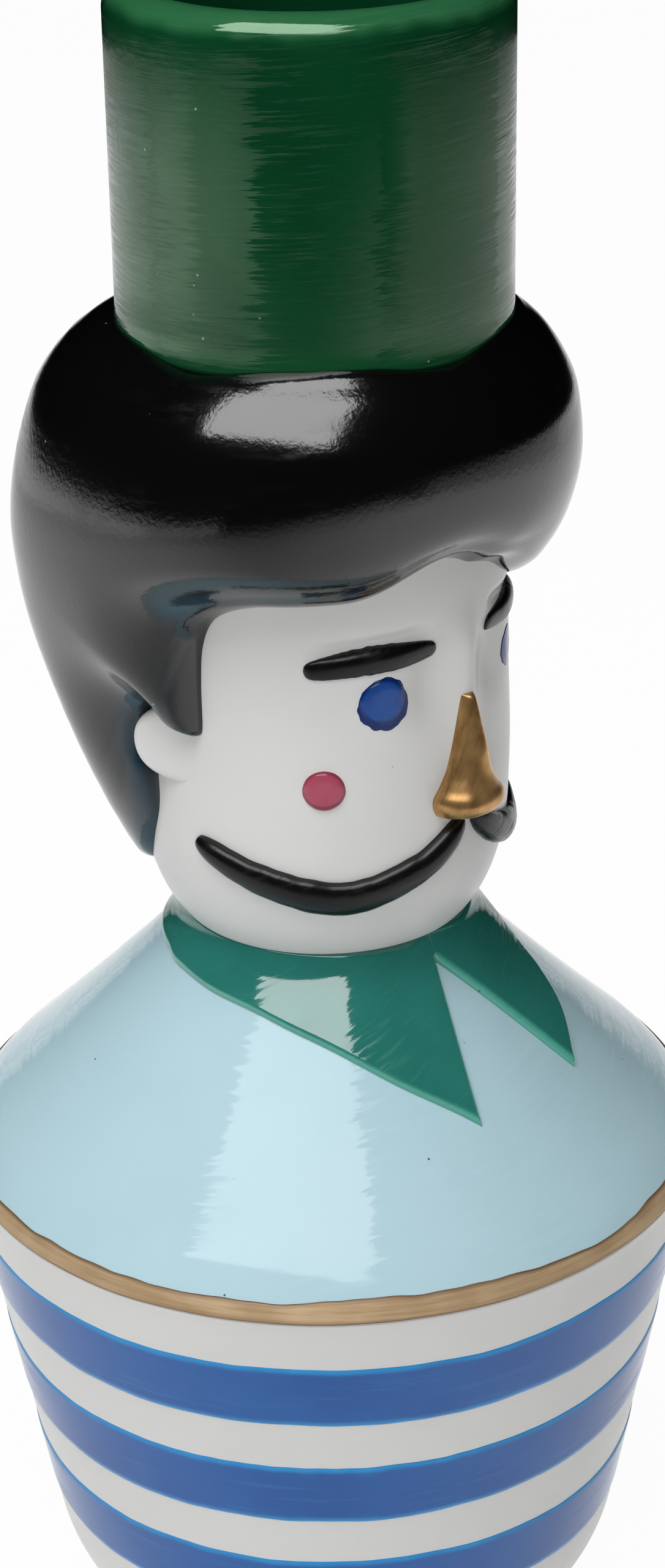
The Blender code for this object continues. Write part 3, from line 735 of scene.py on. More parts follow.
@dataclass
class Cup:
    """Tapered cup with its foot ring, and the enamel stripes painted round it."""

    form: Form
    narrowing: float = 14.6 * MM
    wall: float = 4.5 * MM
    floor: float = 6 * MM
    base_round: float = 24 * MM
    base_turn: float = 66.0
    foot_ring: float = 6 * MM
    foot_chamfer: float = 0.8 * MM
    recess: float = 1.5 * MM
    floor_fillet: float = 11 * MM
    rim_inner: float = 1 * MM
    rim_outer: float = 0.6 * MM
    stray: Triple = (0.002, 0.9, 2.0)
    stray_rise: Pair = (10 * MM, 40 * MM)
    stripe_crown: float = 0.28 * MM
    stripe_bed: float = 0.3 * MM
    stripe_sink: float = 0.08 * MM
    stripe_round: float = 0.5 * MM
    stripe_rim: Pair = (0.2 * MM, 1.1 * MM)
    stripe_rim_line: Pair = (0.3 * MM, 0.15)
    stripe_spread: float = 0.5 * MM
    stripe_unsteady: Pair = (0.32 * MM, 0.2 * MM)
    stripe_waves: Pair = (0.5, 0.6)
    stripe_ripple: float = 0.3
    stripes: tuple = (("upper", 0.0), ("middle", 0.0), ("lower", 1.6 * MM))
    droop_turn: Pair = (15.0, 30.0)

    def radius(self, height: Grid | float) -> Grid | float:
        """Outer radius of the straight wall at a height."""
        return self.form.cup_radius - self.narrowing * (1 - height / self.form.cup_top)

    def waver(self, angles: Grid, heights: Grid) -> Grid:
        """Share of the radius that the hand-turned wall keeps, for rows of heights."""
        return 1 + wander(angles, *self.stray)[None, :] * ease(heights, *self.stray_rise)

    def shell(self) -> Shell:
        """Cup turned from its profile, with the least waver.

        Returns:
            The closed shell, from the floor's middle to the foot's middle.
        """
        tilt = math.degrees(math.atan(self.narrowing / self.form.cup_top))
        drop = math.sin(math.radians(self.base_turn)) - math.sin(math.radians(tilt))
        start = self.base_round * drop
        middle = (
            self.radius(start) - self.base_round * math.cos(math.radians(tilt)),
            start + self.base_round * math.sin(math.radians(tilt)),
        )
        base = arc(middle, self.base_round, -tilt, -self.base_turn, 24)
        fillet = self.floor_fillet
        inner = self.radius(self.floor + fillet) - self.wall
        rim, top = self.form.cup_top, self.form.cup_radius
        edge = rim - self.rim_inner
        wall = [(self.radius(z), z) for z in np.linspace(edge, start, 40)]
        foot = base[-1][0]
        line = [(0.0, self.floor), *arc((inner - fillet, self.floor + fillet), fillet, -90, 0)]
        line += [(top - self.wall, edge)]
        line += arc((top - self.wall + self.rim_inner, edge), self.rim_inner, 180, 90, 5)
        line += arc((top - self.rim_outer, rim - self.rim_outer), self.rim_outer, 90, 0, 5)
        line += [*wall, *base[1:]]
        ring = foot - self.foot_ring
        line += [(foot - self.foot_chamfer, 0.0), (ring, 0.0)]
        line += [(ring - self.recess, self.recess), (0.0, self.recess)]
        radii, heights = np.array(line).T[:, :, None]
        angles = full_turn()
        return Shell(spun(radii * self.waver(angles, heights), heights, angles[None, :]))

    def stripe(self, node: str, droop: float, seed: float) -> Shell:
        """One stripe, laid on by hand with an unsteady edge.

        Args:
            node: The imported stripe, which sets its place.
            droop: How far it sinks by the figure's left.
            seed: Picks the edge's line.

        Returns:
            The closed band.
        """
        low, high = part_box(node)
        angles = full_turn(360)
        slow, quick = self.stripe_unsteady
        edge = [
            wander(angles, slow, wave, seed + wave) + wander(angles, quick, self.stripe_ripple * wave, seed)
            for wave in self.stripe_waves
        ]
        share = (1 - np.cos(np.linspace(0, math.pi, 15)))[:, None] / 2
        sunk = droop * bump(wrapped(angles), *self.droop_turn)
        upper, lower = high.z + self.stripe_spread + edge[0] - sunk, low.z + edge[1] - sunk
        heights = upper + (lower - upper) * share
        across = np.minimum(share, 1 - share) * (high.z - low.z)
        crown = self.stripe_crown * np.sqrt(np.clip(across / self.stripe_round, 0, 1)) - self.stripe_sink
        radii = self.radius(heights) * self.waver(angles, heights)
        face, bed = (spun(radii + lift, heights, angles[None, :]) for lift in (crown, -self.stripe_bed))
        rim = 1 - ease(across + wander(angles, *self.stripe_rim_line, seed)[None, :], *self.stripe_rim)
        return Shell.between(face, bed, rim)

    def build(self, looks: Looks) -> None:
        """Builds and dresses the cup and its stripes.

        Args:
            looks: Materials by paint.
        """
        set_down("cup", self.shell().mesh("cup", False), Paint.WHITE, "body_cup", looks)
        for seed, (word, droop) in enumerate(self.stripes):
            band = self.stripe("stripe_" + word, droop, 5.0 + 3 * seed).mesh(word + "_stripe", True)
            set_down(word + "_stripe", band, Paint.COBALT, "stripe_" + word, looks)


@dataclass
class Shoulders:
    """Sloping shoulders with the gilt edge and the two lapels of the collar."""

    form: Form
    neck_radius: float = 19.8 * MM
    wall: float = 4.5 * MM
    sag: float = 0.9 * MM
    neck_drop: float = -0.2 * MM
    edge_height: float = 0.35 * MM
    edge_turn: float = 1.5 * MM
    edge_from: float = 0.84
    edge_gap: float = 0.5 * MM
    beyond: float = 0.2
    lip: float = 0.3 * MM
    spigot: float = 5 * MM
    spigot_wall: float = 3 * MM
    bore_wall: float = 2.5 * MM
    under_reach: float = 0.78
    under_drop: float = 1.4
    gilt_width: float = 1.6 * MM
    gilt_depth: float = 0.22 * MM
    gilt_sink: float = 0.05 * MM
    gilt_upper: tuple = ((0.6 * MM, 0.7, 4.0), (0.3 * MM, 0.2, 9.0))
    gilt_lower: Triple = (0.25 * MM, 0.35, 6.0)
    gilt_fold: tuple = ((0.25, 0.2 * MM), (0.6, 0.22 * MM), (0.9, 0.15 * MM), (1.0, -0.05 * MM))
    gilt_gap: float = 0.1 * MM
    gilt_start: float = 0.12
    gilt_rim: Pair = (0.1 * MM, 0.5 * MM)
    gilt_inside: Triple = (0.985, 0.985, 1.0)
    gilt_bed: float = 0.15 * MM
    lapel_thickness: float = 1.2 * MM
    lapel_round: float = 1.1 * MM
    lapel_sink: float = 0.12 * MM
    lapel_bed: float = 0.5 * MM
    lapel_rim: Pair = (0.25 * MM, 1.0 * MM)
    lapel_crowding: float = 1.6
    lapel_middle: float = 0.4
    stand: float = 1.7 * MM
    stand_reach: float = 0.55 * MM
    stand_inset: float = 0.3 * MM
    band_reach: float = 3.9 * MM
    band_turn: float = 10.0
    notch: Pair = (-4.4, 2.2 * MM)
    lapel_edges: tuple = (
        (Side.RIGHT, (
            (-15.0, 19 * MM), (-32.0, 12.7 * MM), (-54.0, 7.7 * MM), (-72.0, 5.6 * MM), (-90.0, 4.8 * MM),
            (-108.0, 4.3 * MM),
        )),
        (Side.LEFT, ((16.8, 19 * MM), (29.0, 14.8 * MM), (37.5, 10.8 * MM), (44.0, 6.6 * MM))),
    )

    @property
    def run(self) -> float:
        """How far the slope reaches outwards from the neck."""
        return self.form.cup_radius - self.neck_radius

    def height(self, reach: Grid | float) -> Grid | float:
        """Height of the slope.

        Args:
            reach: How far outwards from the neck.

        Returns:
            The height there.
        """
        share = np.clip(reach / self.run, -self.beyond, 1 + self.beyond)
        top = self.form.neck - self.neck_drop
        fall = top - self.form.cup_top - self.edge_height - self.edge_turn
        turned_down = np.clip((share - self.edge_from) / (1 - self.edge_from), 0, 1 + self.beyond) ** 2
        return top - fall * share - 4 * self.sag * share * (1 - share) - self.edge_turn * turned_down

    def slope(self, reach: Grid | float) -> Grid | float:
        """Fall of the slope for each step outwards."""
        step = 0.1 * MM
        return (self.height(reach + step) - self.height(reach - step)) / (2 * step)

    def over(self, reach: Grid, lift: Grid, angles: Grid) -> Grid:
        """Points lifted off the slope, square to it.

        Args:
            reach: How far outwards from the neck.
            lift: How far off the slope.
            angles: Angles from the front.

        Returns:
            The points.
        """
        fall = self.slope(reach)
        length = np.hypot(1.0, fall)
        radii = self.neck_radius + reach - lift * fall / length
        return spun(radii, self.height(reach) + lift / length, angles)

    def shell(self) -> Shell:
        """Shoulders turned from their profile.

        Returns:
            The closed shell.
        """
        outer, under = (
            [(self.neck_radius + r, self.height(r) - drop) for r in reach]
            for reach, drop in (
                (np.linspace(0, self.run - self.edge_gap, 60), 0.0),
                (np.linspace(self.under_reach * self.run, 0, 12), self.under_drop * self.wall),
            )
        )
        edge, seat = self.form.cup_radius, self.form.cup_top + SEAM
        inside, deep = edge - self.wall - SEAM, seat - self.spigot
        bore = self.neck_radius - self.bore_wall
        line = [(bore, self.height(0.0)), *outer, (edge, seat + self.lip), (edge, seat)]
        line += [(inside, seat), (inside, deep), (inside - self.spigot_wall, deep)]
        line += [(inside - self.spigot_wall, seat), *under, (bore, self.form.neck - 2 * self.wall)]
        radii, heights = np.array(line).T[:, :, None]
        return Shell(spun(radii, heights, full_turn()[None, :]))

    def gilt(self) -> Shell:
        """Lustre brushed over the shoulder's edge, with an unsteady upper line.

        Returns:
            The closed band.
        """
        angles = full_turn(360)
        upper = self.gilt_width + sum(wander(angles, *line) for line in self.gilt_upper)
        share = np.linspace(0, 1, 11)[:, None]
        reach = self.run - upper[None, :] * (1 - share)
        lift = self.gilt_depth * ease(share, 0, self.gilt_start) - self.gilt_sink
        edge = self.height(self.run)
        drop, out = np.array(self.gilt_fold).T[:, :, None]
        drop = drop * (self.form.cup_top - edge - self.gilt_gap)
        lower = edge + drop + wander(angles, *self.gilt_lower)[None, :]
        folded = spun(self.form.cup_radius + out, lower, angles[None, :])
        face = np.concatenate([self.over(reach, lift, angles[None, :]), folded])
        across = np.concatenate([share[:, 0] * self.gilt_width, self.gilt_width - drop[:, 0]])
        ends = np.minimum(across, across[-1] - across)
        rim = (1 - ease(ends, *self.gilt_rim))[:, None] + 0 * angles[None, :]
        inward = face * np.array(self.gilt_inside) - np.array([0, 0, self.gilt_bed])
        return Shell.between(face, inward, rim)

    def lapel_reach(self, side: Side, edge: Sequence[Pair]) -> tuple[Grid, Grid]:
        """Outline of one half of the collar, seen from above.

        Args:
            side: The figure's side.
            edge: (angle, reach) corners of its outer edge, the tip first.

        Returns:
            Angles from the notch round to the back, and the reach at each.
        """
        corners = [self.notch, *edge, (edge[-1][0] + side.value * self.band_turn, self.band_reach)]
        turns, reaches = np.array(corners, float).T
        flat = spun(self.neck_radius + reaches, 0.0, np.radians(turns))[:, :2]
        inner = flat[0] + (flat[1] - flat[0]) * np.linspace(0, 1, 90, endpoint=False)[:, None]
        front = np.vstack([inner, flowing(flat[1:], 140)])
        angles = np.arctan2(front[:, 0], -front[:, 1])
        reach = np.hypot(front[:, 0], front[:, 1]) - self.neck_radius
        back = np.linspace(math.radians(corners[-1][0]), side.value * math.pi, 60)[1:]
        band = np.full(back.size, self.band_reach)
        return np.concatenate([angles, back]), np.concatenate([reach, band])

    def lapel(self, side: Side, edge: Sequence[Pair]) -> Shell:
        """One half of the collar: a soft-edged sheet that stands at the neck and lies down the slope.

        Args:
            side: The figure's side.
            edge: (angle, reach) corners of its outer edge.

        Returns:
            The closed sheet.
        """
        angles, outer = self.lapel_reach(side, edge)
        share = 1 - (1 - np.linspace(0, 1, 46)) ** self.lapel_crowding
        reach = self.stand_inset + (outer - self.stand_inset)[None, :] * share[:, None]
        turns = np.broadcast_to(angles, reach.shape)
        slant = math.hypot(1.0, float(self.slope(self.lapel_middle * self.run)))
        flat = np.stack([(self.neck_radius + reach) * turns, reach * slant], axis=-1)
        border = np.stack([(self.neck_radius + outer) * angles, outer * slant], axis=-1)
        inset = distance(flat, border[:-2])
        round_off = np.sqrt(np.clip(1 - (1 - np.clip(inset / self.lapel_round, 0, 1)) ** 2, 0, 1))
        upright = self.stand * np.exp(-(reach - self.stand_inset) / self.stand_reach) * round_off
        face = self.over(reach, self.lapel_thickness * round_off - self.lapel_sink, turns)
        face[..., 2] += upright
        bed = self.over(reach, np.full(reach.shape, -self.lapel_bed), turns)
        rim = 1 - ease(inset, *self.lapel_rim)
        return Shell.between(face, bed, rim)

    def build(self, looks: Looks) -> None:
        """Builds and dresses the shoulders, the gilt edge and the lapels.

        Args:
            looks: Materials by paint.
        """
        set_down("shoulders", self.shell().mesh("shoulders", True), Paint.SKY, "shoulder_yoke", looks)
        set_down("gilt_edge", self.gilt().mesh("gilt_edge", True), Paint.GILT, "gold_band", looks)
        for side, edge in self.lapel_edges:
            name = side.word + "_lapel"
            mesh = self.lapel(side, edge).mesh(name, True, False)
            set_down(name, mesh, Paint.TEAL, "collar_" + side.word, looks)


@dataclass
class Head:
    """Hollow head with a softly modelled face, and the relief that is laid on it."""

    form: Form
    wall: float = 4 * MM
    bore: float = 13 * MM
    jaw_height: float = 18.5 * MM
    jaw_radius: float = 17.8 * MM
    jaw_fullness: float = 0.5
    crown_inner: Triple = (0.9, 0.9, 1.0)
    roof: Pair = (3.0, 1.6)
    socket_depth: float = 1.5 * MM
    socket_place: tuple = ((14.0, 8.0), (42.5, 5.5))
    bridge_height: float = 1.0 * MM
    bridge_width: float = 5.5
    bridge_rise: tuple = ((24.0, 34.0), (46.0, 54.0))
    brow_fold: float = 0.95 * MM
    fold_rise: Triple = (51.4, 0.03, 1.0)
    fold_turn: tuple = ((10.0, 20.0), (42.0, 56.0))
    cheek_height: float = 0.35 * MM
    cheek_place: tuple = ((44.0, 20.0), (27.0, 9.0))
    chin_height: float = 0.4 * MM
    chin_place: tuple = ((0.0, 22.0), (9.0, 6.0))
    brow_path: tuple = ((11.5, 48.0 * MM), (33.0, 48.1 * MM), (53.5, 47.1 * MM))
    brow_size: Pair = (1.9 * MM, 0.7 * MM)
    brow_taper: float = 0.3
    moustache_path: tuple = (
        (2.2, 22.0 * MM), (9.0, 18.9 * MM), (20.0, 15.9 * MM), (42.0, 13 * MM), (66.0, 15.4 * MM),
        (90.0, 19.8 * MM),
    )
    moustache_size: Pair = (2.7 * MM, 1.8 * MM)
    moustache_taper: float = 0.42
    stroke_bed: float = 0.5 * MM
    stroke_ends: int = 14
    stroke_rough: Pair = (0.07, 9.0)
    stroke_crown: float = 0.85
    dot_relief: float = 0.75 * MM
    flat_relief: float = 0.2 * MM
    flat_shift: float = math.radians(-2.5)
    dot_skirt: float = 0.14 * MM
    dot_sink: float = 0.04 * MM
    dot_bed: float = 0.4 * MM
    dot_shade: float = 0.2
    dot_lean: Pair = (0.45, 0.7)
    dot_line: Pair = (0.6, 0.55)
    dot_round: tuple[float, int] = (0.97, 6)
    dot_skirt_edge: float = 0.06
    dot_rim: Pair = (0.84, 0.98)
    eye_spill: float = 0.22
    cheek_spill: float = 0.03
    nose_breadth: float = 1.07
    nose_turn: float = math.radians(-1.2)
    nose_sink: float = 0.15 * MM
    nose_bed: float = 0.6 * MM
    nose_edge: float = 0.2 * MM
    nose_soft: Pair = (3 * MM, 9 * MM)
    nose_ridge: tuple = ((1.25, 0.9), (0.62, 0.2))
    nose_rows: tuple = (
        (0.9, 3.4, -0.3), (0.1, 4.0, 1.6), (0.0, 4.5, 3.6), (0.6, 5.0, 5.0), (1.7, 5.35, 5.8),
        (2.9, 5.25, 5.7), (4.4, 4.3, 4.9), (6.6, 3.2, 4.0), (9.5, 2.45, 3.3), (13.0, 1.75, 2.4),
        (16.0, 1.2, 1.6), (17.3, 0.9, 1.0), (17.6, 0.7, -0.2),
    )
    ear_centre: Pair = (4 * MM, 32.8 * MM)
    ear_size: Pair = (5.0 * MM, 5.6 * MM)
    ear_lean: float = math.radians(15)
    ear_flare: float = 4.6 * MM
    ear_sink: float = 0.1 * MM
    ear_bed: float = 0.8 * MM
    ear_least: float = 0.04
    ear_open: tuple = (0.25, (-0.8, 0.95), 1.5)
    ear_edge: int = 6
    ear_bowl: tuple = (0.15, (0.3, 0.85))

    @property
    def base(self) -> float:
        """Height of the head's lower edge."""
        return self.form.neck + SEAM

    def plain(self, height: Grid) -> Grid:
        """Radius of the unmodelled head.

        Args:
            height: Heights.

        Returns:
            The radii there.
        """
        share = np.clip((height - self.base) / self.jaw_height, 0, 1)
        full = np.sin(share * math.pi / 2) ** self.jaw_fullness
        return self.jaw_radius + (self.form.head_radius - self.jaw_radius) * full

    def surface(self, angle: Grid, height: Grid) -> Grid:
        """Radius of the modelled head: eye sockets, nose bridge, brow folds and cheeks.

        Args:
            angle: Angles from the front.
            height: Heights.

        Returns:
            The radii.
        """
        rise = (height - self.form.neck) / MM
        turn = wrapped(angle)
        side = np.abs(turn)
        sockets, cheeks = (bump(side, *across) * bump(rise, *up)
                           for across, up in (self.socket_place, self.cheek_place))
        starts, ends = self.bridge_rise
        bridge = bump(turn, 0, self.bridge_width) * ease(rise, *starts) * (1 - ease(rise, *ends))
        fold_top, fold_fall, fold_width = self.fold_rise
        fold = bump(rise, fold_top - fold_fall * side, fold_width)
        fold = fold * ease(side, *self.fold_turn[0]) * (1 - ease(side, *self.fold_turn[1]))
        chin = bump(turn, *self.chin_place[0]) * bump(rise, *self.chin_place[1])
        forms = self.bridge_height * bridge - self.socket_depth * sockets - self.brow_fold * fold
        return self.plain(height) + forms + self.cheek_height * cheeks + self.chin_height * chin

    def on(self, angle: Grid, height: Grid, lift: Grid | float) -> Grid:
        """Points lifted off the modelled head."""
        return spun(self.surface(angle, height) + lift, height, angle)

    def shell(self) -> Shell:
        """Hollow head, open at the neck and the crown.

        Returns:
            The closed shell.
        """
        angles = full_turn(288)
        heights = np.linspace(self.form.head_top, self.base, 130)
        outer = self.on(*np.broadcast_arrays(angles[None, :], heights[:, None]), 0.0)
        crown = outer[:1] * np.array(self.crown_inner)
        radius, top = self.form.head_radius, self.form.head_top
        wide = radius - self.wall
        inside = [(self.bore, self.base), (self.bore, self.base + self.wall)]
        inside += [(wide, self.base + self.jaw_height), (wide, top - self.roof[0] * self.wall)]
        inside += [(radius - self.roof[1] * self.wall, top - self.wall)]
        radii, levels = np.array(inside).T[:, :, None]
        inner = spun(radii, levels, angles[None, :])
        return Shell(np.concatenate([crown, outer, inner]))

    def stroke(self, side: Side, path: Sequence, size: Pair, taper: float, seed: float) -> Shell:
        """Roll of clay laid along a path on the face, with blunt rounded ends.

        Args:
            side: The figure's side.
            path: (angle in degrees, rise) points.
            size: Half width and height.
            taper: Share of the width that is lost at the ends.
            seed: Picks the unevenness.

        Returns:
            The closed roll.
        """
        scale = self.form.head_radius
        line = flowing([(math.radians(a) * scale, rise) for a, rise in path], 96)
        heading = np.gradient(line, axis=0)
        heading /= np.linalg.norm(heading, axis=1)[:, None]
        along = np.linspace(-1, 1, len(line))
        ends = np.sqrt(np.clip(1 - np.abs(along) ** self.stroke_ends, 0, 1))
        amount, waves = self.stroke_rough
        rough = 1 + amount * np.array([noise.noise(Vector((waves * x, seed, 0.0))) for x in along])
        half = size[0] * ends * (1 - taper + taper * np.cos(along * math.pi / 2)) * rough
        turns = full_turn(24)[:, None]
        across = half[None, :] * np.cos(turns)
        crown = size[1] * np.clip(np.sin(turns), 0, None) ** self.stroke_crown
        lift = (crown + self.stroke_bed * np.minimum(np.sin(turns), 0)) * ends[None, :]
        angle = side.value * (line[None, :, 0] - across * heading[None, :, 1]) / scale
        height = self.form.neck + line[None, :, 1] + across * heading[None, :, 0]
        return Shell(self.on(angle, height, lift))

    def dot(self, node: str, spill: float, seed: float, relief: float, shift: float = 0.0) -> Shell:
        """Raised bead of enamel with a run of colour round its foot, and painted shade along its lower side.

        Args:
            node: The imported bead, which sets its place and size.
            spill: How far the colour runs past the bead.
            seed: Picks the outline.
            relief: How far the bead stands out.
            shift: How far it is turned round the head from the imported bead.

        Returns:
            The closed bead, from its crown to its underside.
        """
        low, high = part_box(node)
        middle = (low + high) / 2
        angle = math.atan2(middle.x, -middle.y) + shift
        radius = (high.z - low.z) / 2
        turns = full_turn(72)[None, :]
        lean = self.dot_lean[0] * np.sin(turns[0] + self.dot_lean[1] * np.sign(middle.x))
        run = 1 + spill * (0.5 + wander(turns[0], *self.dot_line, seed) - lean)
        share = shares_out(edge=0.7, inner=9, outer=10, start=0.1)
        spread = radius * share * run[None, :]
        reach, power = self.dot_round
        high_share = np.clip(1 - (spread / (reach * radius)) ** power, 0, 1) ** 0.5
        skirt = np.clip((1 - share) / self.dot_skirt_edge, 0, 1) * self.dot_skirt
        lift = np.maximum(relief * high_share, skirt) - self.dot_sink
        across, up = spread * np.cos(turns), spread * np.sin(turns)
        place = angle + across / self.form.head_radius, middle.z + up
        under = self.on(place[0][-1:], place[1][-1:], -self.dot_bed)
        # Painted shade: the dark edge colour reaches further in on the bead's lower side, partly pooled
        # enamel and partly the shade under the bead.
        sunk = self.dot_shade * np.maximum(-np.sin(turns), 0)
        return Shell.bead(self.on(*place, lift), under, ease(spread / radius + sunk, *self.dot_rim))

    def nose(self) -> Shell:
        """Nose with a soft ridge, flared at the nostrils and flat below.

        Returns:
            The closed form.
        """
        low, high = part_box("nose")
        knots = np.array(self.nose_rows) * MM
        rows = flowing(knots, 60)
        stretch = (high.z - low.z) / knots[-1, 0]
        across = np.linspace(-1, 1, 41)[None, :]
        soft = 0.5 + 0.5 * (1 - ease(rows[:, :1], *self.nose_soft))
        (flank, fuller), (blunt, sharper) = self.nose_ridge
        peak = (1 - np.abs(across) ** (flank + fuller * soft)) ** (blunt + sharper * (1 - soft))
        out = rows[:, 2:3] * peak
        angle = self.nose_turn + self.nose_breadth * rows[:, 1:2] * across / self.form.head_radius
        height = low.z + rows[:, :1] * stretch + 0 * across
        face = self.on(angle, height, out - self.nose_sink)
        bed = self.on(angle, height, np.minimum(out - self.nose_edge, -self.nose_bed))
        return Shell.between(face, bed, np.zeros(face.shape[:2]))

    def ear(self, side: Side) -> Shell:
        """Leaf of an ear that grows out of the cheek and flares at the back.

        Args:
            side: The figure's side.

        Returns:
            The closed leaf, from its bowl to its underside.
        """
        turns = full_turn(96)[None, :]
        share = shares_out(edge=0.8, inner=18, outer=12, start=0.08)
        forth = share * self.ear_size[0] * np.cos(turns)
        up = share * self.ear_size[1] * np.sin(turns)
        level, slant = math.cos(self.ear_lean), math.sin(self.ear_lean)
        back = self.ear_centre[0] + forth * level + up * slant
        height = self.form.neck + self.ear_centre[1] - forth * slant + up * level
        (turn, span, power), (deep, bowl) = self.ear_open, self.ear_bowl
        opened = ease(share * np.cos(turns - turn), *span) ** power
        flare = self.ear_flare * (self.ear_least + (1 - self.ear_least) * opened)
        leaf = np.sqrt(np.clip(1 - share ** self.ear_edge, 0, 1)) * (1 - deep * (1 - ease(share, *bowl)))
        angle = side.value * np.arccos(np.clip(-back / self.form.head_radius, -1, 1))
        under = self.on(angle[-1:], height[-1:], -self.ear_bed)
        return Shell.bead(self.on(angle, height, flare * leaf - self.ear_sink), under)

    def build(self, looks: Looks) -> None:
        """Builds and dresses the head and everything on the face.

        Args:
            looks: Materials by paint.
        """
        set_down("head", self.shell().mesh("head", True), Paint.WHITE, "head_shell", looks)
        set_down("gilt_nose", self.nose().mesh("gilt_nose", True, False), Paint.BRONZE, "nose", looks)
        for side in Side:
            eye = (self.flat_relief, self.flat_shift) if side is Side.LEFT else (self.dot_relief,)
            brow = self.stroke(side, self.brow_path, self.brow_size, self.brow_taper, 1.0)
            moustache = self.stroke(
                side, self.moustache_path, self.moustache_size, self.moustache_taper, 2.0
            )
            cheek = self.dot("cheek_" + side.word, self.cheek_spill, 7.0, self.dot_relief)
            relief = (
                ("ear", self.ear(side), Paint.WHITE, True),
                ("eye", self.dot("eye_" + side.word, self.eye_spill, 3.0, *eye), Paint.IRIS, True),
                ("cheek", cheek, Paint.ROSE, True),
                ("brow", brow, Paint.INK, False),
                ("moustache", moustache, Paint.INK, False),
            )
            for feature, shell, paint, is_bead in relief:
                name = f"{side.word}_{feature}"
                mesh = shell.mesh(name, not is_bead, is_bead)
                set_down(name, mesh, paint, f"{feature}_{side.word}", looks)


